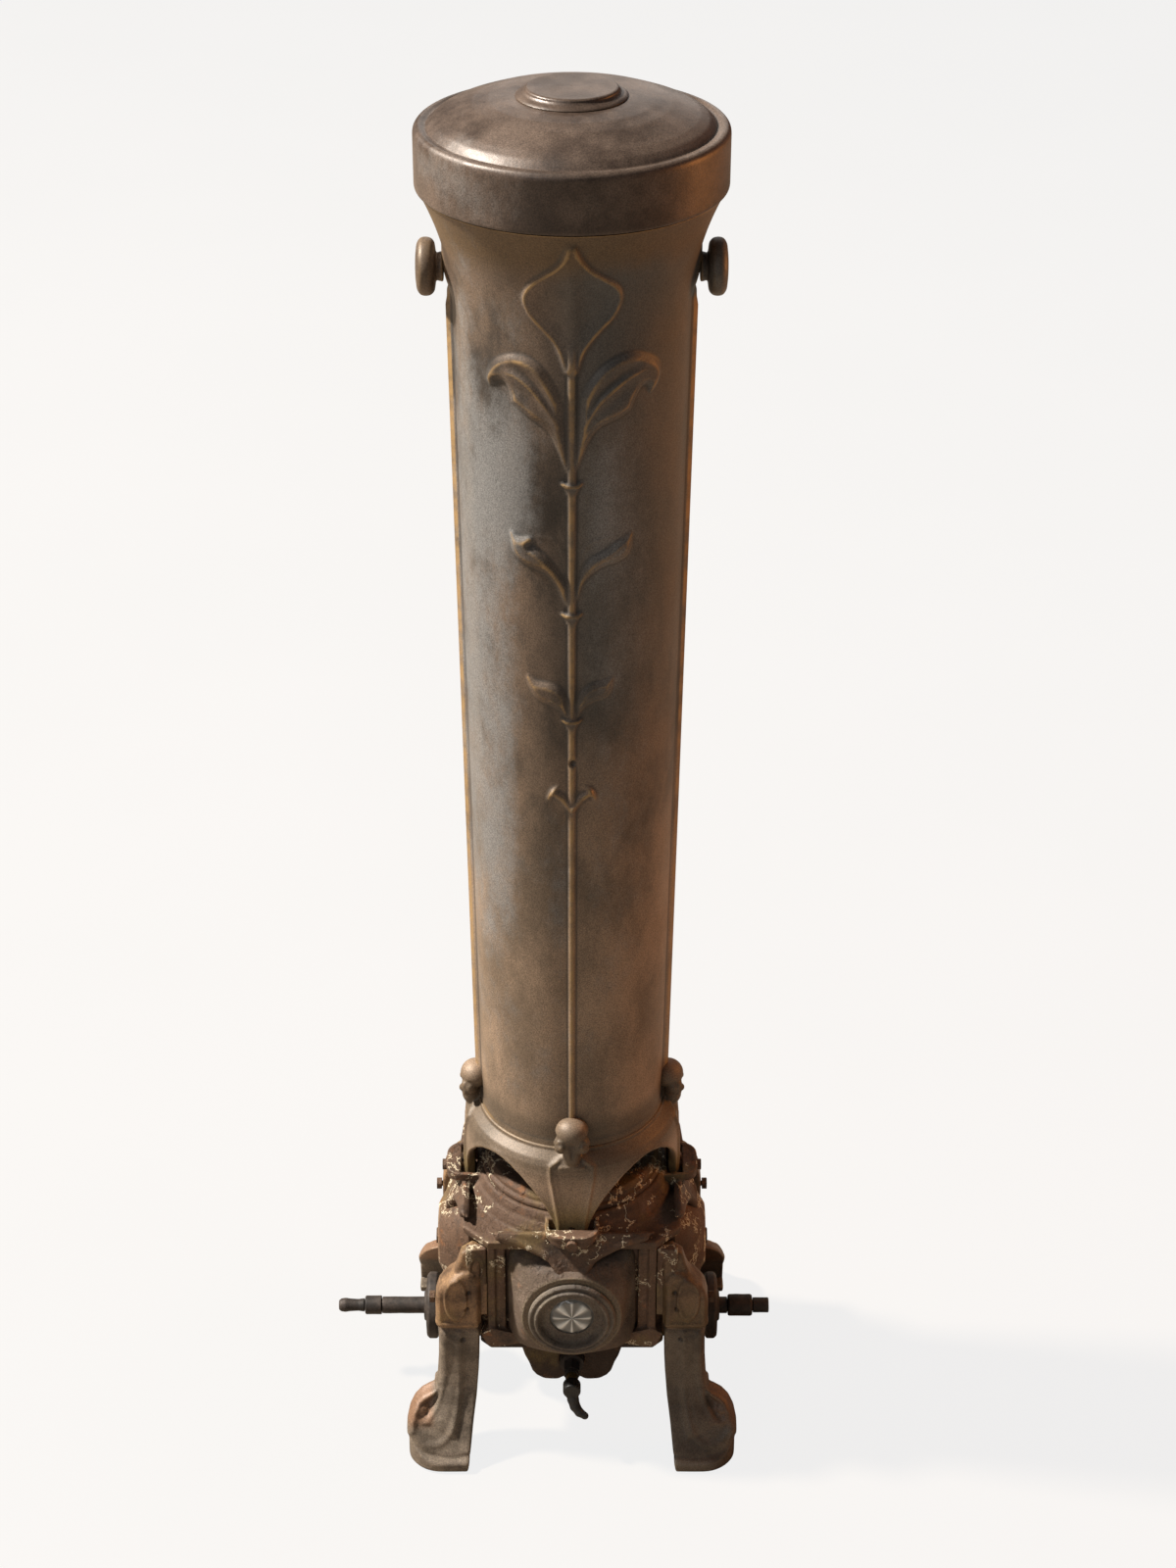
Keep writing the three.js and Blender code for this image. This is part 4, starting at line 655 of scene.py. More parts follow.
LEAF2_L = dict(
    up=[(-3.5, 704.1), (-8.7, 713.8), (-14.6, 722.4), (-22.2, 728.6), (-28, 730.5),
        (-24.5, 737.1), (-34.9, 734.8), (-39.1, 737.6)],
    low=[(-2.8, 692.4), (-5.8, 699), (-10.2, 708.7), (-16.2, 715.5), (-23.8, 717.1),
         (-33.4, 720.3), (-38.4, 727.4), (-39.1, 737.6)],
    faint=[(-23.7, 737.5), (-13.1, 738.1), (-5.2, 730.4), (-4.4, 716)])
LEAF2_R = dict(
    up=[(4, 700), (7.5, 715.2), (12, 723.5), (22.6, 727.5), (30, 733), (38.3, 736.5)],
    low=[(3.2, 697), (5.3, 707.3), (10.5, 713.7), (19.5, 719.4), (28.9, 720.4), (37.1, 724.4),
         (38.3, 736.5)],
    faint=[(5.1, 718), (7.5, 730.3), (13.4, 735.6), (25.6, 737), (37, 736.3)])
LEAF3_L = dict(
    up=[(-3.4, 621), (-4.4, 628.4), (-13.5, 634.7), (-22.9, 634.3), (-28.5, 637.9)],
    low=[(-2.6, 608), (-4.4, 615.3), (-12, 620.1), (-21.3, 622.4), (-26.9, 630.1), (-28.5, 637.9)])
LEAF3_R = dict(
    up=[(3.4, 621), (6.2, 628.3), (12.3, 634), (19, 634.6), (26, 636.5)],
    low=[(2.6, 608), (4.7, 615.3), (10.8, 621.9), (21.7, 624), (25, 629), (26, 636.5)])


def leaf_height(a, z, leaf, lift):
    """Broad soft blade, hollow along its upper half, with thin bright ridges."""
    outline = smooth_line(leaf["low"]) + smooth_line(leaf["up"])[::-1]
    if "curl" in leaf:
        outline = (smooth_line(leaf["low"]) + smooth_line(leaf["curl"])[::-1]
                   + smooth_line(leaf["up"])[::-1])
    inside = -polygon(a, z, outline)
    h = lift * np.clip(0.5 + inside / 5.0, 0, 1) ** 1.6
    lines = [("up", 0.55), ("low", 0.8), ("mid", 1.0), ("curl", 0.8), ("faint", 0.35)]
    for name, height in lines:
        if name in leaf:
            h = h + ridge(a, z, smooth_line(leaf[name]), 1.05, height)
    if "mid" in leaf:
        mid = smooth_line(leaf["mid"])
        h = h - ridge(a, z, [(p[0] * 0.98, p[1] + 4.5) for p in mid], 3.0, lift * 0.5)
        h = h - ridge(a, z, [(p[0] * 0.98, p[1] - 7.5) for p in mid], 3.4, lift * 0.3)
    return h


def relief(a, z):
    """Height of the plant over the shaft, in millimetres."""
    half = 1.75 + 0.45 * ramp(z - 300, 500)
    for node in (774.7, 684.8, 608.2):
        below = node - z
        half = half + 2.6 * bell(np.clip(below, 0, None), 4.5, 1.5) * (below > -1.5)
    t = np.clip(1 - (a / (half * 1.25)) ** 2, 0, None)
    stem = 2.3 * np.sqrt(t) * ramp(870 - z, 16)
    for node in (775.3, 685.4, 608.8):
        cup = node - 1.4 + 0.035 * a ** 2
        rim = bell(z - cup, 1.3) * bell(a, 6.4, 6)
        stem = np.maximum(stem, 3.4 * rim)
    outline = smooth_line(BUD_L) + smooth_line(BUD_R)[::-1]
    inside = -polygon(a, z, outline)
    bud = 1.5 * np.clip(0.5 + inside / 6, 0, 1) - 1.6 * ramp(inside - 1.5, 7)
    for side in (BUD_L, BUD_R):
        bud = bud + ridge(a, z, smooth_line(side), 1.25, 1.4, False)
    fold = bell(a, 5.5) * ramp(z - 850, 20) * ramp(936 - z, 10)
    bud = bud + 1.9 * fold
    around = bell(np.abs(a) - 9, 13) * bell(z - 812, 34)
    skin = 0.0
    for leaf, lift in ((LEAF1_L, 3.0), (LEAF1_R, 3.0), (LEAF2_L, 3.2), (LEAF2_R, 2.6),
                       (LEAF3_L, 2.7), (LEAF3_R, 2.0)):
        skin = skin + leaf_height(a, z, leaf, lift)
    for side in (-1, 1):
        horn = [(side * 0.6, 542), (side * 6, 549.5), (side * 11.5, 553.5)]
        skin = skin + ridge(a, z, horn, 2.2, 2.5, False)
        rim = [(side * 8.6, 558.3), (side * 12.6, 555), (side * 15.6, 547.5)]
        skin = skin + ridge(a, z, smooth_line(rim), 1.4, 2.2)
    whole = np.maximum(stem, 0) + bud
    whole = np.where(skin > 0.05, np.maximum(whole, skin + 0.25 * whole), whole) + 0.7 * around
    pit = np.hypot(a - 0.6, (z - 576.5) * 0.7)
    return whole - 3.2 * bell(pit, 1.9, 4)


def bloom_and_highlight(points):
    """Where the pale haze lies on the bronze, from 0 to 1: partly a real bloom, mostly a painted
    highlight on the lit left side and a painted sheen towards the front.
    """
    x, z = points[:, 0], points[:, 2]
    amount = 0.0
    # the long spots at the left edge of the shaft and on the lid's left rim are painted highlight
    # where the key lamp falls
    for cx, cz, sx, sz, much in ((-38, 778, 22, 55, 0.8), (20, 765, 13, 50, 0.5),
                                 (-66, 640, 14, 260, 0.75), (-44, 640, 12, 120, 0.5),
                                 (32, 700, 26, 120, 0.35), (-46, 485, 13, 90, 0.5),
                                 (-10, 470, 12, 60, 0.35), (30, 470, 30, 160, 0.25),
                                 (-30, 880, 18, 26, 0.3), (-20, 330, 40, 50, 0.25),
                                 (-70, 962, 40, 16, 0.5), (60, 962, 26, 12, 0.25)):
        amount = amount + much * np.exp(-((x - cx) / sx) ** 2 - ((z - cz) / sz) ** 2)
    # stronger on the front half: a painted sheen on the side facing the camera
    return np.clip(amount, 0, 1) * np.clip(0.7 - points[:, 1] / 60, 0.3, 1)


def column_shaft():
    front = np.arange(-64, 64.1, 1.0) / 69.0
    rest = np.linspace(front[-1], 2 * np.pi + front[0], 92)[1:-1]
    angle = np.concatenate([front, rest])
    low = np.arange(BEAD_Z, 540, 3.0)
    high = np.arange(540, TOP_Z - 0.5, 1.3)
    z = np.concatenate([low, high, [TOP_Z - 0.4, TOP_Z]])
    across, up = np.meshgrid(angle, z, indexing="ij")
    turn = (across + np.pi) % (2 * np.pi) - np.pi
    r = shaft_r(up)
    arc = turn * r
    h = relief(arc, up)
    for centre in (-np.pi / 2, np.pi / 2, np.pi):
        off = ((turn - centre + np.pi) % (2 * np.pi) - np.pi) * r
        top = 876 if abs(centre) < 2 else 905
        fade = ramp(top - up, 12) ** 0.5
        h = h + fade * (3.6 * np.sqrt(np.clip(1 - (off / 4.2) ** 2, 0, 1))
                        + 0.8 * bell(off, 7))
    h = h + 1.7 * bell(up - BEAD_Z - 1.5, 1.9) * (np.abs(turn) > 0.16)
    side = np.abs(np.abs(turn) - np.pi / 2) * r
    boss = np.hypot(side, up - KNOB_Z)
    h = h + 3.2 * np.clip(1 - (boss / 19) ** 2, 0, 1) ** 1.5
    outer = r + h
    inner = r - 4.5
    n, m = len(angle), len(z)
    x, y = np.sin(across), -np.cos(across)
    points = np.concatenate([
        np.stack([outer * x, outer * y, up], -1).reshape(-1, 3),
        np.stack([inner[:, ::12] * x[:, ::12], inner[:, ::12] * y[:, ::12], up[:, ::12]],
                 -1).reshape(-1, 3)])
    m2 = len(z[::12])
    base = n * m
    faces = [net(n, m, open_columns=True),
             base + net(n, m2, open_columns=True)[:, (0, 3, 2, 1)]]
    i = np.arange(n)
    i2 = (i + 1) % n
    faces.append(np.stack([base + i * m2 + m2 - 1, i * m + m - 1, i2 * m + m - 1,
                           base + i2 * m2 + m2 - 1], -1))
    return points, np.concatenate(faces)


APRON = [(186, 76.0), (200, 77.4), (214, 78.0), (232, 77.8), (243, 77.2), (250, 75.8),
         (254, 73.4), (257, 69.5), (259, 67.0), (261, 66.9), (263, 65.2), (300, 65.1)]
ARCH = [(0, 247), (6, 246.3), (14, 244), (22, 239), (30, 231), (36, 223), (40.5, 214),
        (43.5, 205), (45.5, 196), (46.5, 180)]


def apron_field(u, v, z):
    """The flared foot of the column with its arches, tongues and scrolls."""
    r = np.sqrt(u * u + v * v)
    zs, rs = zip(*APRON)
    outer = np.interp(z, zs, rs).astype(np.float32)
    wall = smax(r - outer, outer - 4.6 - r, 0.8)
    wall = smax(wall, between(188, 261.5, z), 1.0)
    t = np.abs(v - u) / math.sqrt(2)
    arch = polygon(t, z, [(-60, 170)] + [(-p[0], p[1]) for p in ARCH[::-1]] + ARCH[1:]
                   + [(60, 170)])
    rim = bell(arch - 1.6, 1.5) * ramp(z - 205, 25)
    wall = wall - 0.9 * rim * (r > outer - 2.5)
    body = smax(wall, -arch, 1.6)
    # raised lines down the tongue and the shield between them
    rail = polyline(u, z, [(5.5, 258), (15.5, 251), (15.2, 243), (12.5, 226), (9.6, 206),
                           (8.6, 190)])
    body = body - 1.9 * bell(rail, 1.5) * (v > 60)
    sill = polyline(u, z, [(0, 251.5), (8, 251)])
    body = body - 1.2 * bell(sill, 1.3) * (v > 60)
    sunk = polygon(u, z, [(-12, 247), (12, 247), (6.5, 206), (5.5, 190), (-5.5, 190),
                          (-6.5, 206)])
    body = body + 0.9 * ramp(-sunk, 2) * (v > 74)
    # scroll: a rolled head, an eye at each side and a narrow neck
    head = ball(u, v, z, (0, 69.5, 278.5), (11.8, 10.8, 10))
    eye = ball(u, v, z, (7.4, 74.5, 271), (5.6, 6.6, 6.8))
    scroll = smin(head, eye, 0.8)
    neck = ball(u, v, z, (0, 72, 262), (6.5, 7.5, 11))
    scroll = smin(scroll, neck, 2.5)
    cleft = ball(u, v, z, (0, 82.5, 267), (1.6, 5.5, 7))
    scroll = smax(scroll, -cleft, 2.0)
    coil = np.abs(np.hypot(u - 7.6, z - 271) - 3.1) - 0.3
    scroll = scroll + 0.9 * bell(coil, 0.9) * (v > 77)
    coil = np.abs(np.hypot(z - 272.5, (v - 72) * 1.05) - 4.6) - 0.4
    scroll = scroll + 0.9 * bell(coil, 1.1) * ramp(u - 9, 3)
    scroll = smax(scroll, 61.5 - v, 1.0)
    hole = np.sqrt((z - SCREW_Z) ** 2 + u * u) - 2.6
    whole = smax(smin(body, scroll, 2.5), -np.maximum(hole, 60 - v), 0.6)
    return whole


# ------------------------------------------------------------ lid

LID_Z = 940.3
LID_PROFILE = [(92.5, 0), (94.9, 0.8), (95.3, 2.2), (95.3, 33.2), (94.9, 35.2), (93.4, 37),
               (91, 37.6), (88.6, 36.6), (87.2, 36.4), (85.6, 38.2), (82.5, 41), (77, 44),
               (70, 46.7), (60, 50.3), (50, 52.6), (40, 53.7), (32, 54), (4.4, 54.2), (4.4, 50.2),
               (34, 49.2), (77, 31.2), (91, 26), (91, 6), (79, 6), (79, -10), (82, -10), (82, 0)]
BUTTON_PROFILE = [(0.05, 54.3), (34, 54.3), (32.4, 55.5), (29.6, 56.6), (28.3, 57.8), (28, 59),
                  (26.8, 59.7), (0.05, 59.7)]


def knob(side):
    seat = float(shaft_r(898.5)) + 0.8
    profile = [(0.05, seat), (9.5, seat), (8.4, seat + 4), (9.4, 83.2), (15, 84), (17.4, 86.2),
               (18, 89.5), (17.4, 92.6), (14.5, 94.8), (8, 95.6), (0.05, 95.6)]
    return lathe([(r, side * h) for r, h in profile], 72, "x", (0, 0, KNOB_Z), 1.6, 2.0)


# ------------------------------------------------------------ base

PLATE_HALF, FRAME_HALF, CUT = 78.0, 69.0, 130.0
PANEL_Z, WINDOW_Z, GAS_Z = 131.0, 130.5, 60.0
LOBE = [(-60, 13), (-52, 10), (-40, 6.5), (-30, 2.5), (-20, -2.5), (-14, -7), (-10.5, -13),
        (-7.5, -19.5), (-4, -24.8), (0, -26.5), (4, -24.8), (7.5, -19.5), (10.5, -13), (14, -7),
        (20, -2.5), (30, 2.5), (40, 6.5), (52, 10), (60, 13)]


def base_top_field(u, v, z):
    """Ledge, stepped drum, cups for the tongues and the pointed lobes under the ledge."""
    r = np.sqrt(u * u + v * v)
    plate = smax(octagon(u, v, PLATE_HALF, 138), between(178.6, 186.0, z), 2.2)
    lip = smax(octagon(u, v, PLATE_HALF + 0.6, 138.8), between(182.2, 185.8, z), 1.5)
    whole = smin(plate, lip, 1.0)
    drum_r = np.interp(z, [184, 187.5, 190, 194, 196, 199, 202.4],
                       [76.6, 75.6, 74.8, 72.6, 70.6, 69.6, 68]).astype(np.float32)
    drum = smax(r - drum_r, between(180, 202.3, z), 1.4)
    whole = smin(whole, drum, 2.0)
    bottom = 189.0 + 5.0 * (u / 19) ** 2
    bottom = np.where(v > 80, bottom, 183)
    q1, q2 = np.maximum(u - 7, 0), np.maximum(v - 79.5, 0)
    around = np.sqrt(q1 * q1 + q2 * q2) - 12
    cup = smax(smax(around, bottom - z, 3.0), z - 200.3, 1.2)
    rim = np.abs(around + 1.2) - 1.6
    rim = smax(rim, between(197.2, 200.8, z), 0.8)
    cup = smin(cup, np.maximum(rim, 74 - v), 0.8)
    whole = smin(whole, cup, 1.0)
    lean, rise = math.sin(math.radians(24)), math.cos(math.radians(24))
    down = (v - 81.5) * lean - (z - 182) * rise
    out = (v - 81.5) * rise + (z - 182) * lean
    shape = polygon(u, -down, LOBE)
    lobe = smax(shape, np.abs(out) - 2.8, 1.8)
    edge = polyline(u, -down, LOBE[1:-1])
    roll = np.sqrt(edge * edge + (out - 0.6) ** 2) - 3.4
    whole = smin(whole, smin(lobe, roll, 1.5), 2.0)
    pocket = np.maximum(np.maximum(u - 16.2, between(69.5, 81.2, v)), 187.7 - z)
    whole = smax(whole, -pocket, 0.8)
    whole = smax(whole, 50 - r, 1.0)
    hole = np.sqrt(u * u + (z - SCREW_Z) ** 2) - 2.5
    return np.maximum(whole, -hole)


def base_frame_field(u, v, z):
    """Square box with bevelled corners, stepped pilasters and a bottom moulding."""
    outer = smax(octagon(u, v, FRAME_HALF, CUT), between(84, 177.9, z), 0.8)
    inner = octagon(u, v, FRAME_HALF - 6, CUT - 9)
    whole = smax(outer, -inner, 0.8)
    opening = np.maximum(np.maximum(u - 41, between(92, 170, z)), 50 - v)
    whole = smax(whole, -opening, 0.8)
    foot = np.sqrt((u - 54.5) ** 2 + np.minimum(z - 102.5, 0) ** 2) - 6.5
    post = smax(foot, z - 177.9, 0.6)
    face = 73.3 + 2.0 * ramp(u - 54.6, 1.2)
    post = smax(post, between(60, face, v), 1.0)
    whole = smin(whole, post, 0.8)
    lip = polygon(u, z, [(-10, 84.2), (16, 84.2), (28, 86.5), (38, 90), (46, 88.5), (56, 86),
                         (62, 88.5), (66, 99), (58, 104), (40, 99), (20, 96.5), (-10, 96)])
    return smin(whole, smax(lip, np.maximum(66 - v, v - 83.5), 3.0), 2.5)


def bracket(side):
    """Small wing between a pilaster and the ledge, with an oval hollow."""
    grid = Grid((58, -80, 130), (78, -68, 180), 0.55)
    x, y, z = grid.x, grid.y, grid.z
    shape = polygon(x, z, [(61.4, 177.7), (76, 177.7), (76.3, 170), (75.7, 161), (72.4, 152.3),
                           (67, 142), (62.4, 134.5), (61.4, 136)])
    face = -75.5 - 2.0 * ramp(x - 61, 14)
    body = smax(shape, smax(face - y, y + 69.4, 0.5), 1.6)
    ring = np.sqrt(((x - 68.4) / 3.6) ** 2 + ((z - 161) / 8.5) ** 2)
    body = body - 0.8 * bell(ring - 1.25, 0.3) * (y < -74)
    body = body + 1.8 * np.clip(1.2 - ring, 0, 1) * (y < -74)
    body = np.maximum(body, between(-80, -69.4, y))
    frame_room = np.maximum(np.abs(x) + np.abs(y) - CUT - 0.6, np.abs(y) - FRAME_HALF - 0.3)
    body = np.maximum(body, -frame_room)
    points, faces = grid.mesh(body)
    return points * np.array((side, 1, 1)), faces


def superellipse(a, b, power, count):
    angle = np.linspace(0, 2 * np.pi, count, endpoint=False)
    c, d = np.cos(angle), np.sin(angle)
    k = (np.abs(c) ** power + np.abs(d) ** power) ** (-1 / power)
    return a * c * k, b * d * k


def swollen(crest_r, hole_r, hole_z, crest=95.0):
    """A cover that swells from a rectangle on the frame to a round crest, hollow behind."""
    def stage(out, grow):
        rounding = np.interp(out, [0, 0.06, 0.14, 0.5, 0.82, 1], [0, 0, 0.02, 0.34, 0.74, 1])
        power = np.interp(out, [0, 0.12, 0.5, 0.82, 1], [9, 8, 5, 3, 2])
        y = -69.3 - (crest - 69.3) * out - (grow if out > 0.02 else 0)
        a = (46 + grow) * (1 - rounding) + (crest_r + grow) * rounding
        b = (45 + grow) * (1 - rounding) + (crest_r + grow) * rounding
        x, z = superellipse(a, b, power, 200)
        swirl = 0.8 * math.sin(math.pi * out) * np.sin(2 * np.linspace(0, 2 * np.pi, 200) + 0.6)
        return np.stack([x, y + swirl, PANEL_Z + z], -1)

    rings = [stage(out, 0.0)
             for out in np.concatenate([np.linspace(0, 0.1, 5), np.linspace(0.13, 1, 34)])]
    x, z = superellipse(crest_r - 1.0, crest_r - 1.0, 2, 200)
    rings.append(np.stack([x, np.full(200, -crest), PANEL_Z + z], -1))
    for r, y in ((hole_r + 0.6, -crest), (hole_r, 0.4 - crest), (hole_r, 3.8 - crest)):
        x, z = superellipse(r, r, 2, 200)
        rings.append(np.stack([x, np.full(200, y), hole_z + z], -1))
    rings = np.array(rings + [stage(out, -4.0) for out in np.linspace(0.9, 0.0, 12)])
    return rings.reshape(-1, 3), net(len(rings), 200)


def window_ring():
    profile = [(31.5, -95.3), (31.5, -97.2), (30.3, -98.7), (29, -98.8), (28, -98), (27, -99.3),
               (26.2, -100.5), (24.9, -100.5), (24, -99), (23.2, -96.6), (22, -95), (19.5, -94.3),
               (16.2, -94.3), (15.8, -93.9), (15.8, -93.5), (17.3, -93.5), (17.3, -85.7),
               (25.3, -85.7), (25.3, -95.3)]
    return lathe(profile, 144, "y", (0, 0, WINDOW_Z), 0.5, 1.0)


def rayed_glass():
    radii = np.concatenate([[0.02], np.linspace(0.8, 14.8, 30), [15.3, 15.9, 16.4, 16.9]])
    angle = np.linspace(0, 2 * np.pi, 192, endpoint=False)
    r, a = np.meshgrid(radii, angle, indexing="ij")
    wave = np.abs(((a * 8 / np.pi) % 2) - 1)
    depth = ramp(r, 13) ** 0.6 * ramp(15 - r, 1.5)
    dome = np.sqrt(np.clip(1 - (r / 15.3) ** 2, 0, 1))
    y = -(93.2 + 2.4 * dome + 1.3 * wave * depth)
    front = np.stack([r * np.sin(a), y, WINDOW_Z + r * np.cos(a)], -1)
    back = np.stack([r[::-4] * np.sin(a[::-4]), np.full_like(r[::-4], -90.1),
                     WINDOW_Z + r[::-4] * np.cos(a[::-4])], -1)
    rings = np.concatenate([front, back])
    return rings.reshape(-1, 3), net(len(rings), len(angle), open_rows=True)


def facets(points):
    """How pale each ray of the glass is: broad rays on the diagonals, thin ones between."""
    a = np.arctan2(points[:, 0], points[:, 2] - WINDOW_Z)
    r = np.hypot(points[:, 0], points[:, 2] - WINDOW_Z)
    turn = (a / (np.pi / 2)) % 1
    broad = bell(turn - 0.5, 0.13)
    thin = bell(np.minimum(turn, 1 - turn), 0.045) * 0.8
    return np.clip(broad + thin, 0, 1) * ramp(14.6 - r, 1.5) + 0.15


# ------------------------------------------------------------ legs

LEG_OUT = [(67.7, 150), (70.5, 155.5), (74, 158), (78.5, 158), (82.5, 156), (88, 152),
           (93, 146.5), (96.5, 141), (98.8, 132), (99, 112), (97.8, 108), (96.4, 104), (95.6, 96),
           (96, 76), (97, 61), (99.8, 53), (104.5, 51), (109.5, 48.5), (114, 44.5), (117.5, 38.5),
           (119.5, 31), (120.3, 20), (120.8, 8), (120.8, 0), (76.5, 0), (74.6, 12), (72.6, 29),
           (70, 48), (68.2, 69), (67.5, 96), (67.4, 104), (67.7, 110)]
LEG_SIDE = [(-60, 168), (-80, 168), (-82, 112), (-81.4, 109), (-79.4, 105.5), (-80, 96),
            (-81, 78), (-82.5, 67), (-85.5, 56), (-90.5, 44), (-97.5, 32), (-104.5, 21),
            (-110.5, 13), (-114.5, 9.5), (-117, 7), (-117, 0), (-84, 0), (-80, 14), (-74, 28),
            (-66.5, 45), (-62, 60), (-60, 78)]
SCROLL_OUT = [(92.4, 101), (92.4, 92), (92.7, 82.5), (93, 69.4), (94.7, 58.1), (98, 47.9),
              (101.2, 40.2), (105.9, 33.8), (109.6, 32.4), (113.4, 34.7), (115, 38.5),
              (113, 41.5), (110.2, 40)]
SCROLL_LOW = [(81.3, 101.8), (81.8, 75.7), (82.1, 58.1), (83.7, 43), (86.4, 31.1), (90.6, 23.3),
              (95.8, 19.5), (102.2, 18.3), (109.6, 19.9), (114.9, 25.9), (117, 33)]
LEG_RIDGE = [(76.2, 101), (76.8, 75.7), (78.9, 52.9), (80.6, 40.2), (82.1, 29.3), (83.5, 20)]
EAR = [(98, 55), (104, 50), (110, 46.5), (114.5, 41.5), (117, 34), (117.6, 28)]
LIP_GROOVE = [(119, 21.6), (112.7, 15), (107.4, 12.4), (96.8, 10.4), (86.3, 10), (77, 11.2)]


def leg_relief(x, z):
    def line(points, width, height):
        return height * bell(polyline(x, z, smooth_line(points, 1)), width)

    roll = polygon(x, z, smooth_line(LEG_RIDGE, 1) + smooth_line(SCROLL_OUT[:9], 1)[::-1])
    h = 2.6 * (1 - np.exp(np.clip(roll, None, 0) / 5.5))
    h = h + line(SCROLL_OUT, 2.3, 1.5) + line(SCROLL_LOW, 2.6, 1.1) + line(EAR, 2.4, 1.4)
    h = h - line([(97.5, 56), (99, 48), (102.4, 41), (106, 37.5)], 1.6, 1.6)
    ear = polygon(x, z, [(99.5, 52), (105, 48.5), (110, 45), (113.5, 40), (109, 43), (106, 39.5),
                         (103.5, 39.5), (100.5, 43), (98, 48)])
    h = h - 2.6 * ramp(-ear, 3.2)
    h = h - line(LIP_GROOVE, 1.8, 1.1)
    dish = np.sqrt(((x - 84) / 8.5) ** 2 + ((z - 135.5) / 19.5) ** 2)
    boss = 2.1 * ramp(1.08 - dish, 0.16) - 0.9 * ramp(0.8 - dish, 0.14)
    knee = 1.0 * bell(z - 111.5, 2.2) * (z > 105)
    rim = polygon(x, z, [(69.5, 112), (69.5, 149), (75, 155.5), (80.5, 155.6), (88, 151),
                         (93, 144), (96, 137), (96.5, 112)])
    frame_line = 0.8 * bell(rim + 1.2, 1.6)
    h = np.where(z > 104, np.maximum(boss, 0.0) + np.minimum(boss, 0) + knee + frame_line, h)
    for px, pz in ((74.6, 141.3), (76.3, 126.8), (79.5, 97.5)):
        h = h - 2.4 * bell(np.sqrt((x - px) ** 2 + (z - pz) ** 2), 1.7, 4)
    return h


def leg():
    grid = Grid((58, -119, -1), (123, -50, 180), 0.8)
    x, y, z = grid.x, grid.y, grid.z
    front = polygon(x, z, LEG_OUT)
    side = polygon(y, z, LEG_SIDE)
    lift = leg_relief(x, z)
    cx, cy = x - 95, -y - 91
    plan = np.where((cx > 0) & (cy > 0), np.sqrt(cx * cx + cy * cy) - 26,
                    np.maximum(cx, cy) - 26)
    ex, ey = x - 91, -y - 73
    edge = np.where((ex > 0) & (ey > 0) & (z > 72), np.sqrt(ex * ex + ey * ey) - 9.5, -9)
    body = smax(smax(front, side, 2.4), plan, 2.0)
    body = smax(body, edge, 1.5)
    facing = ramp(-y - 70, 6) * ramp(-front + 1.5, 2.5)
    body = body - lift * facing
    step = bell(z - 106, 2.4) * 1.3
    body = body + step * ramp(-y - 60, 12)
    side_roll = polyline(y, z, [(-71, 100), (-71, 72), (-78, 50), (-88, 34), (-98, 24)])
    body = body - 1.8 * bell(side_roll, 4.5) * ramp(x - 92, 4)
    behind = polygon(y, z, [(-30, 7), (-94, 7), (-91, 26), (-82, 40), (-75, 54), (-71.5, 64),
                            (-30, 64)])
    body = smax(body, -np.maximum(behind, 101.5 - x), 1.5)
    shoulder = polygon(x, z, [(66, 110), (66, 176), (72, 177.3), (79.5, 172), (82.5, 162),
                              (87, 152), (94, 145), (95.5, 110)])
    face = -78.5 + np.clip(z - 150, 0, 30) / 6
    body = smin(body, smax(shoulder, np.maximum(face - y, y + 64), 3.0), 2.5)
    body = smax(body, -z, 0.8)
    body = np.maximum(body, -117 - y)
    lug = block(x, y, z, (59.7, -76, 116), (81.7, -52, 146), 2)
    body = np.minimum(body, lug)
    room = np.maximum(np.maximum(x, -y) - FRAME_HALF - 0.35,
                      (x - y - CUT - 0.45) / math.sqrt(2))
    body = np.maximum(body, -room)
    front_post = np.maximum(np.maximum(x - 61.35, 60 - z), 0 * y - 3)
    side_post = np.maximum(np.maximum(x - 75.85, -61.35 - y), 60 - z)
    body = np.maximum(np.maximum(body, -front_post), -side_post)
    return grid.mesh(body)


# ------------------------------------------------------------ gas line and tap


def bowl_mesh():
    grid = Grid((-70, -70, 35), (70, 70, 85), 0.9)
    x, y, z = grid.x, grid.y, grid.z
    u, v = np.minimum(np.abs(x), np.abs(y)), np.maximum(np.abs(x), np.abs(y))
    wide = np.interp(z, [36.5, 39.4, 43, 47, 55, 62, 80], [15, 22, 27, 29.6, 32, 35, 40])
    long = np.interp(z, [36.5, 40, 48, 80], [56, 59, 60, 60])
    outer = smax(smax(u - wide, v - long, 4.0), between(36.8, 80, z), 1.5)
    hollow = smax(smax(u - wide + 4, v - long + 4, 3.0), 41 - z, 1.0)
    rim = smax(octagon(u, v, 67.3, 126.8), between(76.8, 83.5, z), 1.4)
    body = smax(smin(rim, outer, 2.0), -hollow, 1.0)
    arm_x = np.sqrt(y * y + (z - GAS_Z) ** 2) - 9.4
    arm_y = np.maximum(np.sqrt(x * x + (z - GAS_Z) ** 2) - 9.4, y)
    notch = np.maximum(np.sqrt(x * x + (z - 29.5) ** 2) - 13.5, np.maximum(y + 44, -65 - y))
    ways = np.minimum(np.minimum(arm_x, arm_y), notch)
    return grid.mesh(smax(body, -ways, 0.8))


def ripple(points, size, amount, seed):
    """Pushes a mesh about by a smooth noise, for the unevenness of a casting."""
    return points + amount * np.stack([value_noise(points, size, seed + k) for k in range(3)], -1)


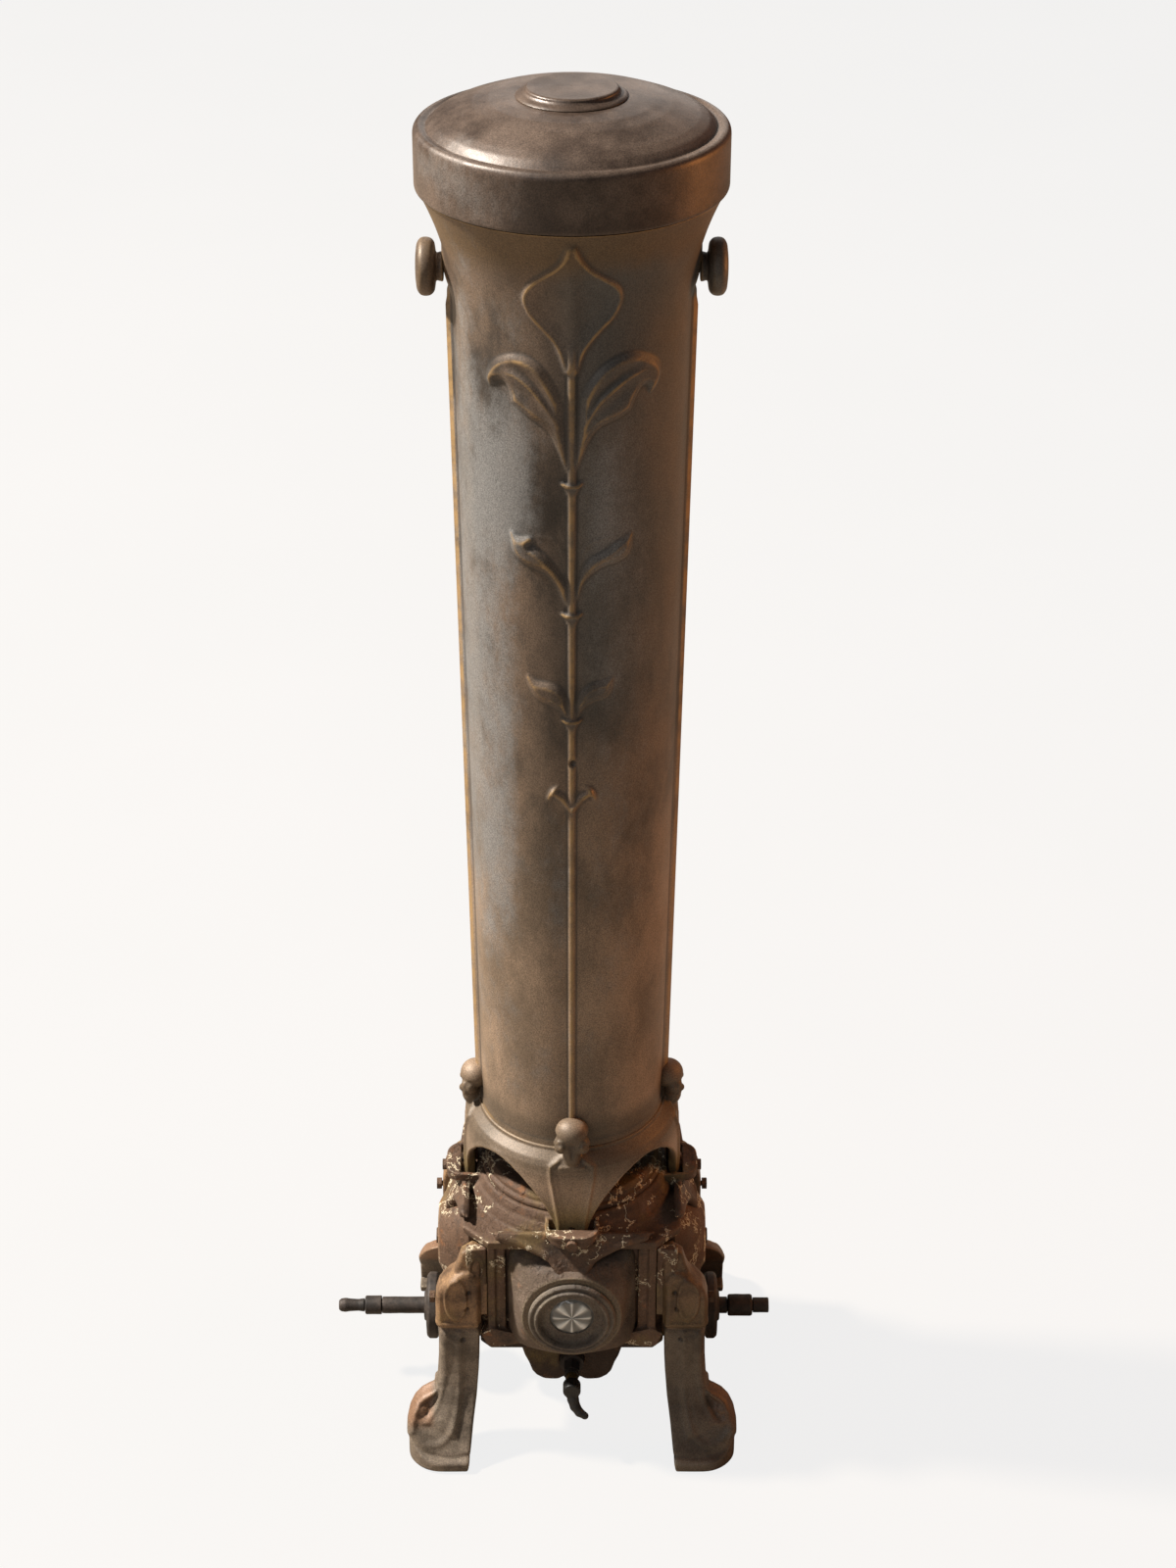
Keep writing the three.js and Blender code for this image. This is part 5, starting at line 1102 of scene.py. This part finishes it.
def lever():
    grid = Grid((-9, -103, 34), (16, -84, 68), 0.35)
    x, y, z = grid.x, grid.y, grid.z
    hub = smax(np.sqrt(x * x + (z - GAS_Z) ** 2) - 6.5, between(-96.3, -86.3, y), 1.6)
    path = [((0, -91, 57), 4.4), ((0.9, -94, 51.5), 4.2), ((2.4, -96, 46.5), 3.8),
            ((5.5, -98, 42.5), 3.3), ((9.6, -99.4, 40.3), 2.7)]
    arm = np.float32(99)
    for (a, ra), (b, rb) in zip(path, path[1:]):
        a, b = np.array(a), np.array(b)
        e = b - a
        t = ramp((x - a[0]) * e[0] + (y - a[1]) * e[1] + (z - a[2]) * e[2], e @ e)
        d = np.sqrt((x - a[0] - e[0] * t) ** 2 + (y - a[1] - e[1] * t) ** 2
                    + (z - a[2] - e[2] * t) ** 2) - (ra + (rb - ra) * t)
        arm = smin(arm, d, 0.8)
    socket = np.maximum(np.sqrt(x * x + (z - GAS_Z) ** 2) - 4.5, -94.3 - y)
    return grid.mesh(np.maximum(smin(hub, arm, 2.0), -socket))


# ------------------------------------------------------------ every piece


def uneven(name, made, waves, material, slot, node):
    """A piece with the unevenness of a casting: waves says how far apart, how high and a seed."""
    points, faces = made
    piece(name, ripple(points, *waves), faces, material, slot, stands_for=[node])


points, faces = column_shaft()
piece("column_skin", points, faces, column_skin, "bronzed_column",
      stands_for=["column_shell"], rounds=10, paint=bloom_and_highlight)
uneven("column_foot", four_sided(85, 185.5, 294, 0.8, apron_field), (14, 0.12, 3), column_skin,
       "bronzed_column", "column_shell")
for side, name in ((-1, "left"), (1, "right")):
    piece(f"knob_disc_{name}", *knob(side), column_skin, "bronzed_column",
          stands_for=[f"knob_{name}"])

piece("lid_dome", *lathe(LID_PROFILE, 220, at=(0, 0, LID_Z), radius=1.2, most=1.6), lid_skin,
      "lid_iron", "lid", ["lid"], paint=bloom_and_highlight)
piece("lid_cap", *lathe(BUTTON_PROFILE, 140, at=(0, 0, LID_Z), radius=0.6, most=1.2), lid_skin,
      "lid_iron", "lid", ["lid_button"])

CROWN = [(50, 202.7), (66, 202.7), (66.2, 205), (65.4, 206.8), (63.4, 207.4), (63, 210.2),
         (60.6, 213), (57, 213.4), (50, 213.4)]
uneven("crown_ring", lathe(CROWN, 200, radius=0.8, most=1.2), (9, 0.25, 7), rust_heavy,
       "rusted_iron", "burner_crown")
uneven("ledge_and_drum", four_sided(93, 155, 204, 0.8, base_top_field), (12, 0.2, 1), rust_heavy,
       "rusted_iron", "base_top")
uneven("frame_box", four_sided(77, 83, 179, 0.8, base_frame_field), (16, 0.12, 2), rust_skin,
       "rusted_iron", "base_frame")
for side, name in ((-1, "left"), (1, "right")):
    piece(f"frame_wing_{name}", *bracket(side), rust_skin, "rusted_iron")
uneven("window_panel", swollen(35.5, 25.8, PANEL_Z), (18, 0.15, 4), panel_skin, "rusted_iron",
       "front_panel")
for name, turn in (("right", 1), ("rear", 2), ("left", 3)):
    points, faces = swollen(22, 2.4, 128, 99.0)
    points = ripple(points, 18, 0.15, 5 + turn)
    for _ in range(turn):
        points = points[:, (1, 0, 2)] * np.array((-1, 1, 1))
    piece(f"side_cover_{name}", points, faces, rust_skin, "rusted_iron",
          stands_for=[f"{name}_cover"])
piece("bezel_rings", *window_ring(), bezel_skin, "leg_iron", stands_for=["window_bezel"],
      rounds=5)
piece("rayed_pane", *rayed_glass(), glass_skin, "window_glass", stands_for=["window_glass"],
      paint=facets)

points, faces = leg()
points = ripple(points, 15, 0.15, 9)
for name, sx, sy in (("front_right", 1, 1), ("front_left", -1, 1), ("rear_right", 1, -1),
                     ("rear_left", -1, -1)):
    piece(f"bracket_{name}", points * np.array((sx, sy, 1)), faces, leg_skin, "leg_iron",
          stands_for=[f"leg_{name}"])

piece("dish", *bowl_mesh(), rust_dark, "rusted_iron", stands_for=["bowl"])


FLANGE = [(6.7, 101), (23.6, 101), (24.9, 102.4), (24.9, 107.6), (23, 109.6), (12.4, 109.9),
          (11, 111.8), (6.7, 111.9)]
GAS_LINE = [
    ("pipe_flange_left", "flange_left", 20, FLANGE),
    ("pipe_flange_right", "flange_right", 20, FLANGE),
    ("gas_tube_left", "gas_pipe_left", 23,
     [(4.4, 101.2), (6.3, 101.2), (6.3, 143.9), (4.4, 143.9)]),
    ("tube_collar_left", "pipe_collar", 24,
     [(4.4, 144.4), (7.1, 144.4), (7.1, 156.2), (6.1, 156.9), (4.4, 156.9)]),
    ("hose_tail_left", "hose_barb", 25,
     [(2.6, 157.4), (5, 157.4), (4.4, 162), (4.8, 168.8), (5.3, 171.8), (4.8, 175.2),
      (3.5, 176.8), (2.6, 176.8)]),
    ("gas_tube_right", "gas_pipe_right", 26,
     [(4.4, 101.2), (6.3, 101.2), (6.3, 117.9), (4.4, 117.9)]),
    ("tube_coupling_right", "pipe_coupling", 27,
     [(4.4, 118.4), (7.6, 118.4), (8.2, 119.6), (8.2, 135.4), (7.4, 136.8), (4.4, 136.8)]),
    ("tube_nipple_right", "pipe_nipple", 28,
     [(3.4, 137.4), (5.7, 137.4), (5.7, 149.4), (3.4, 149.4)])]
for name, node, seed, profile in GAS_LINE:
    side = -1 if name.endswith("left") else 1
    points, faces = lathe([(r, side * h) for r, h in profile], 64, "x", (0, 0, GAS_Z), 0.6, 1.0)
    piece(name, ripple(points, 5, 0.1, seed), faces, pipe_skin, "gas_iron", stands_for=[node],
          rounds=4)

piece("tap_handle", *lever(), black_skin, "black_handle", "tap", ["tap_lever"])

finish_of = {"bronzed_column": column_skin, "lid_iron": lid_skin, "rusted_iron": rust_skin,
             "fastener_iron": rust_plain, "leg_iron": leg_skin, "gas_iron": pipe_skin,
             "flue_sheet": sheet_skin, "jet_brass": brass_skin, "black_handle": black_skin,
             "window_glass": glass_skin, "window_gasket": felt_skin}
for entry in frame["record"]["subparts"]:
    node = nodes[entry["node"]]
    node.data.materials.clear()
    node.data.materials.append(finish_of[entry["material_slot"]])
    soft = node.modifiers.new("soft_edges", "BEVEL")
    soft.width = 0.35 * MM
    soft.segments = 2
    soft.limit_method = "ANGLE"
    soft.angle_limit = math.radians(40)
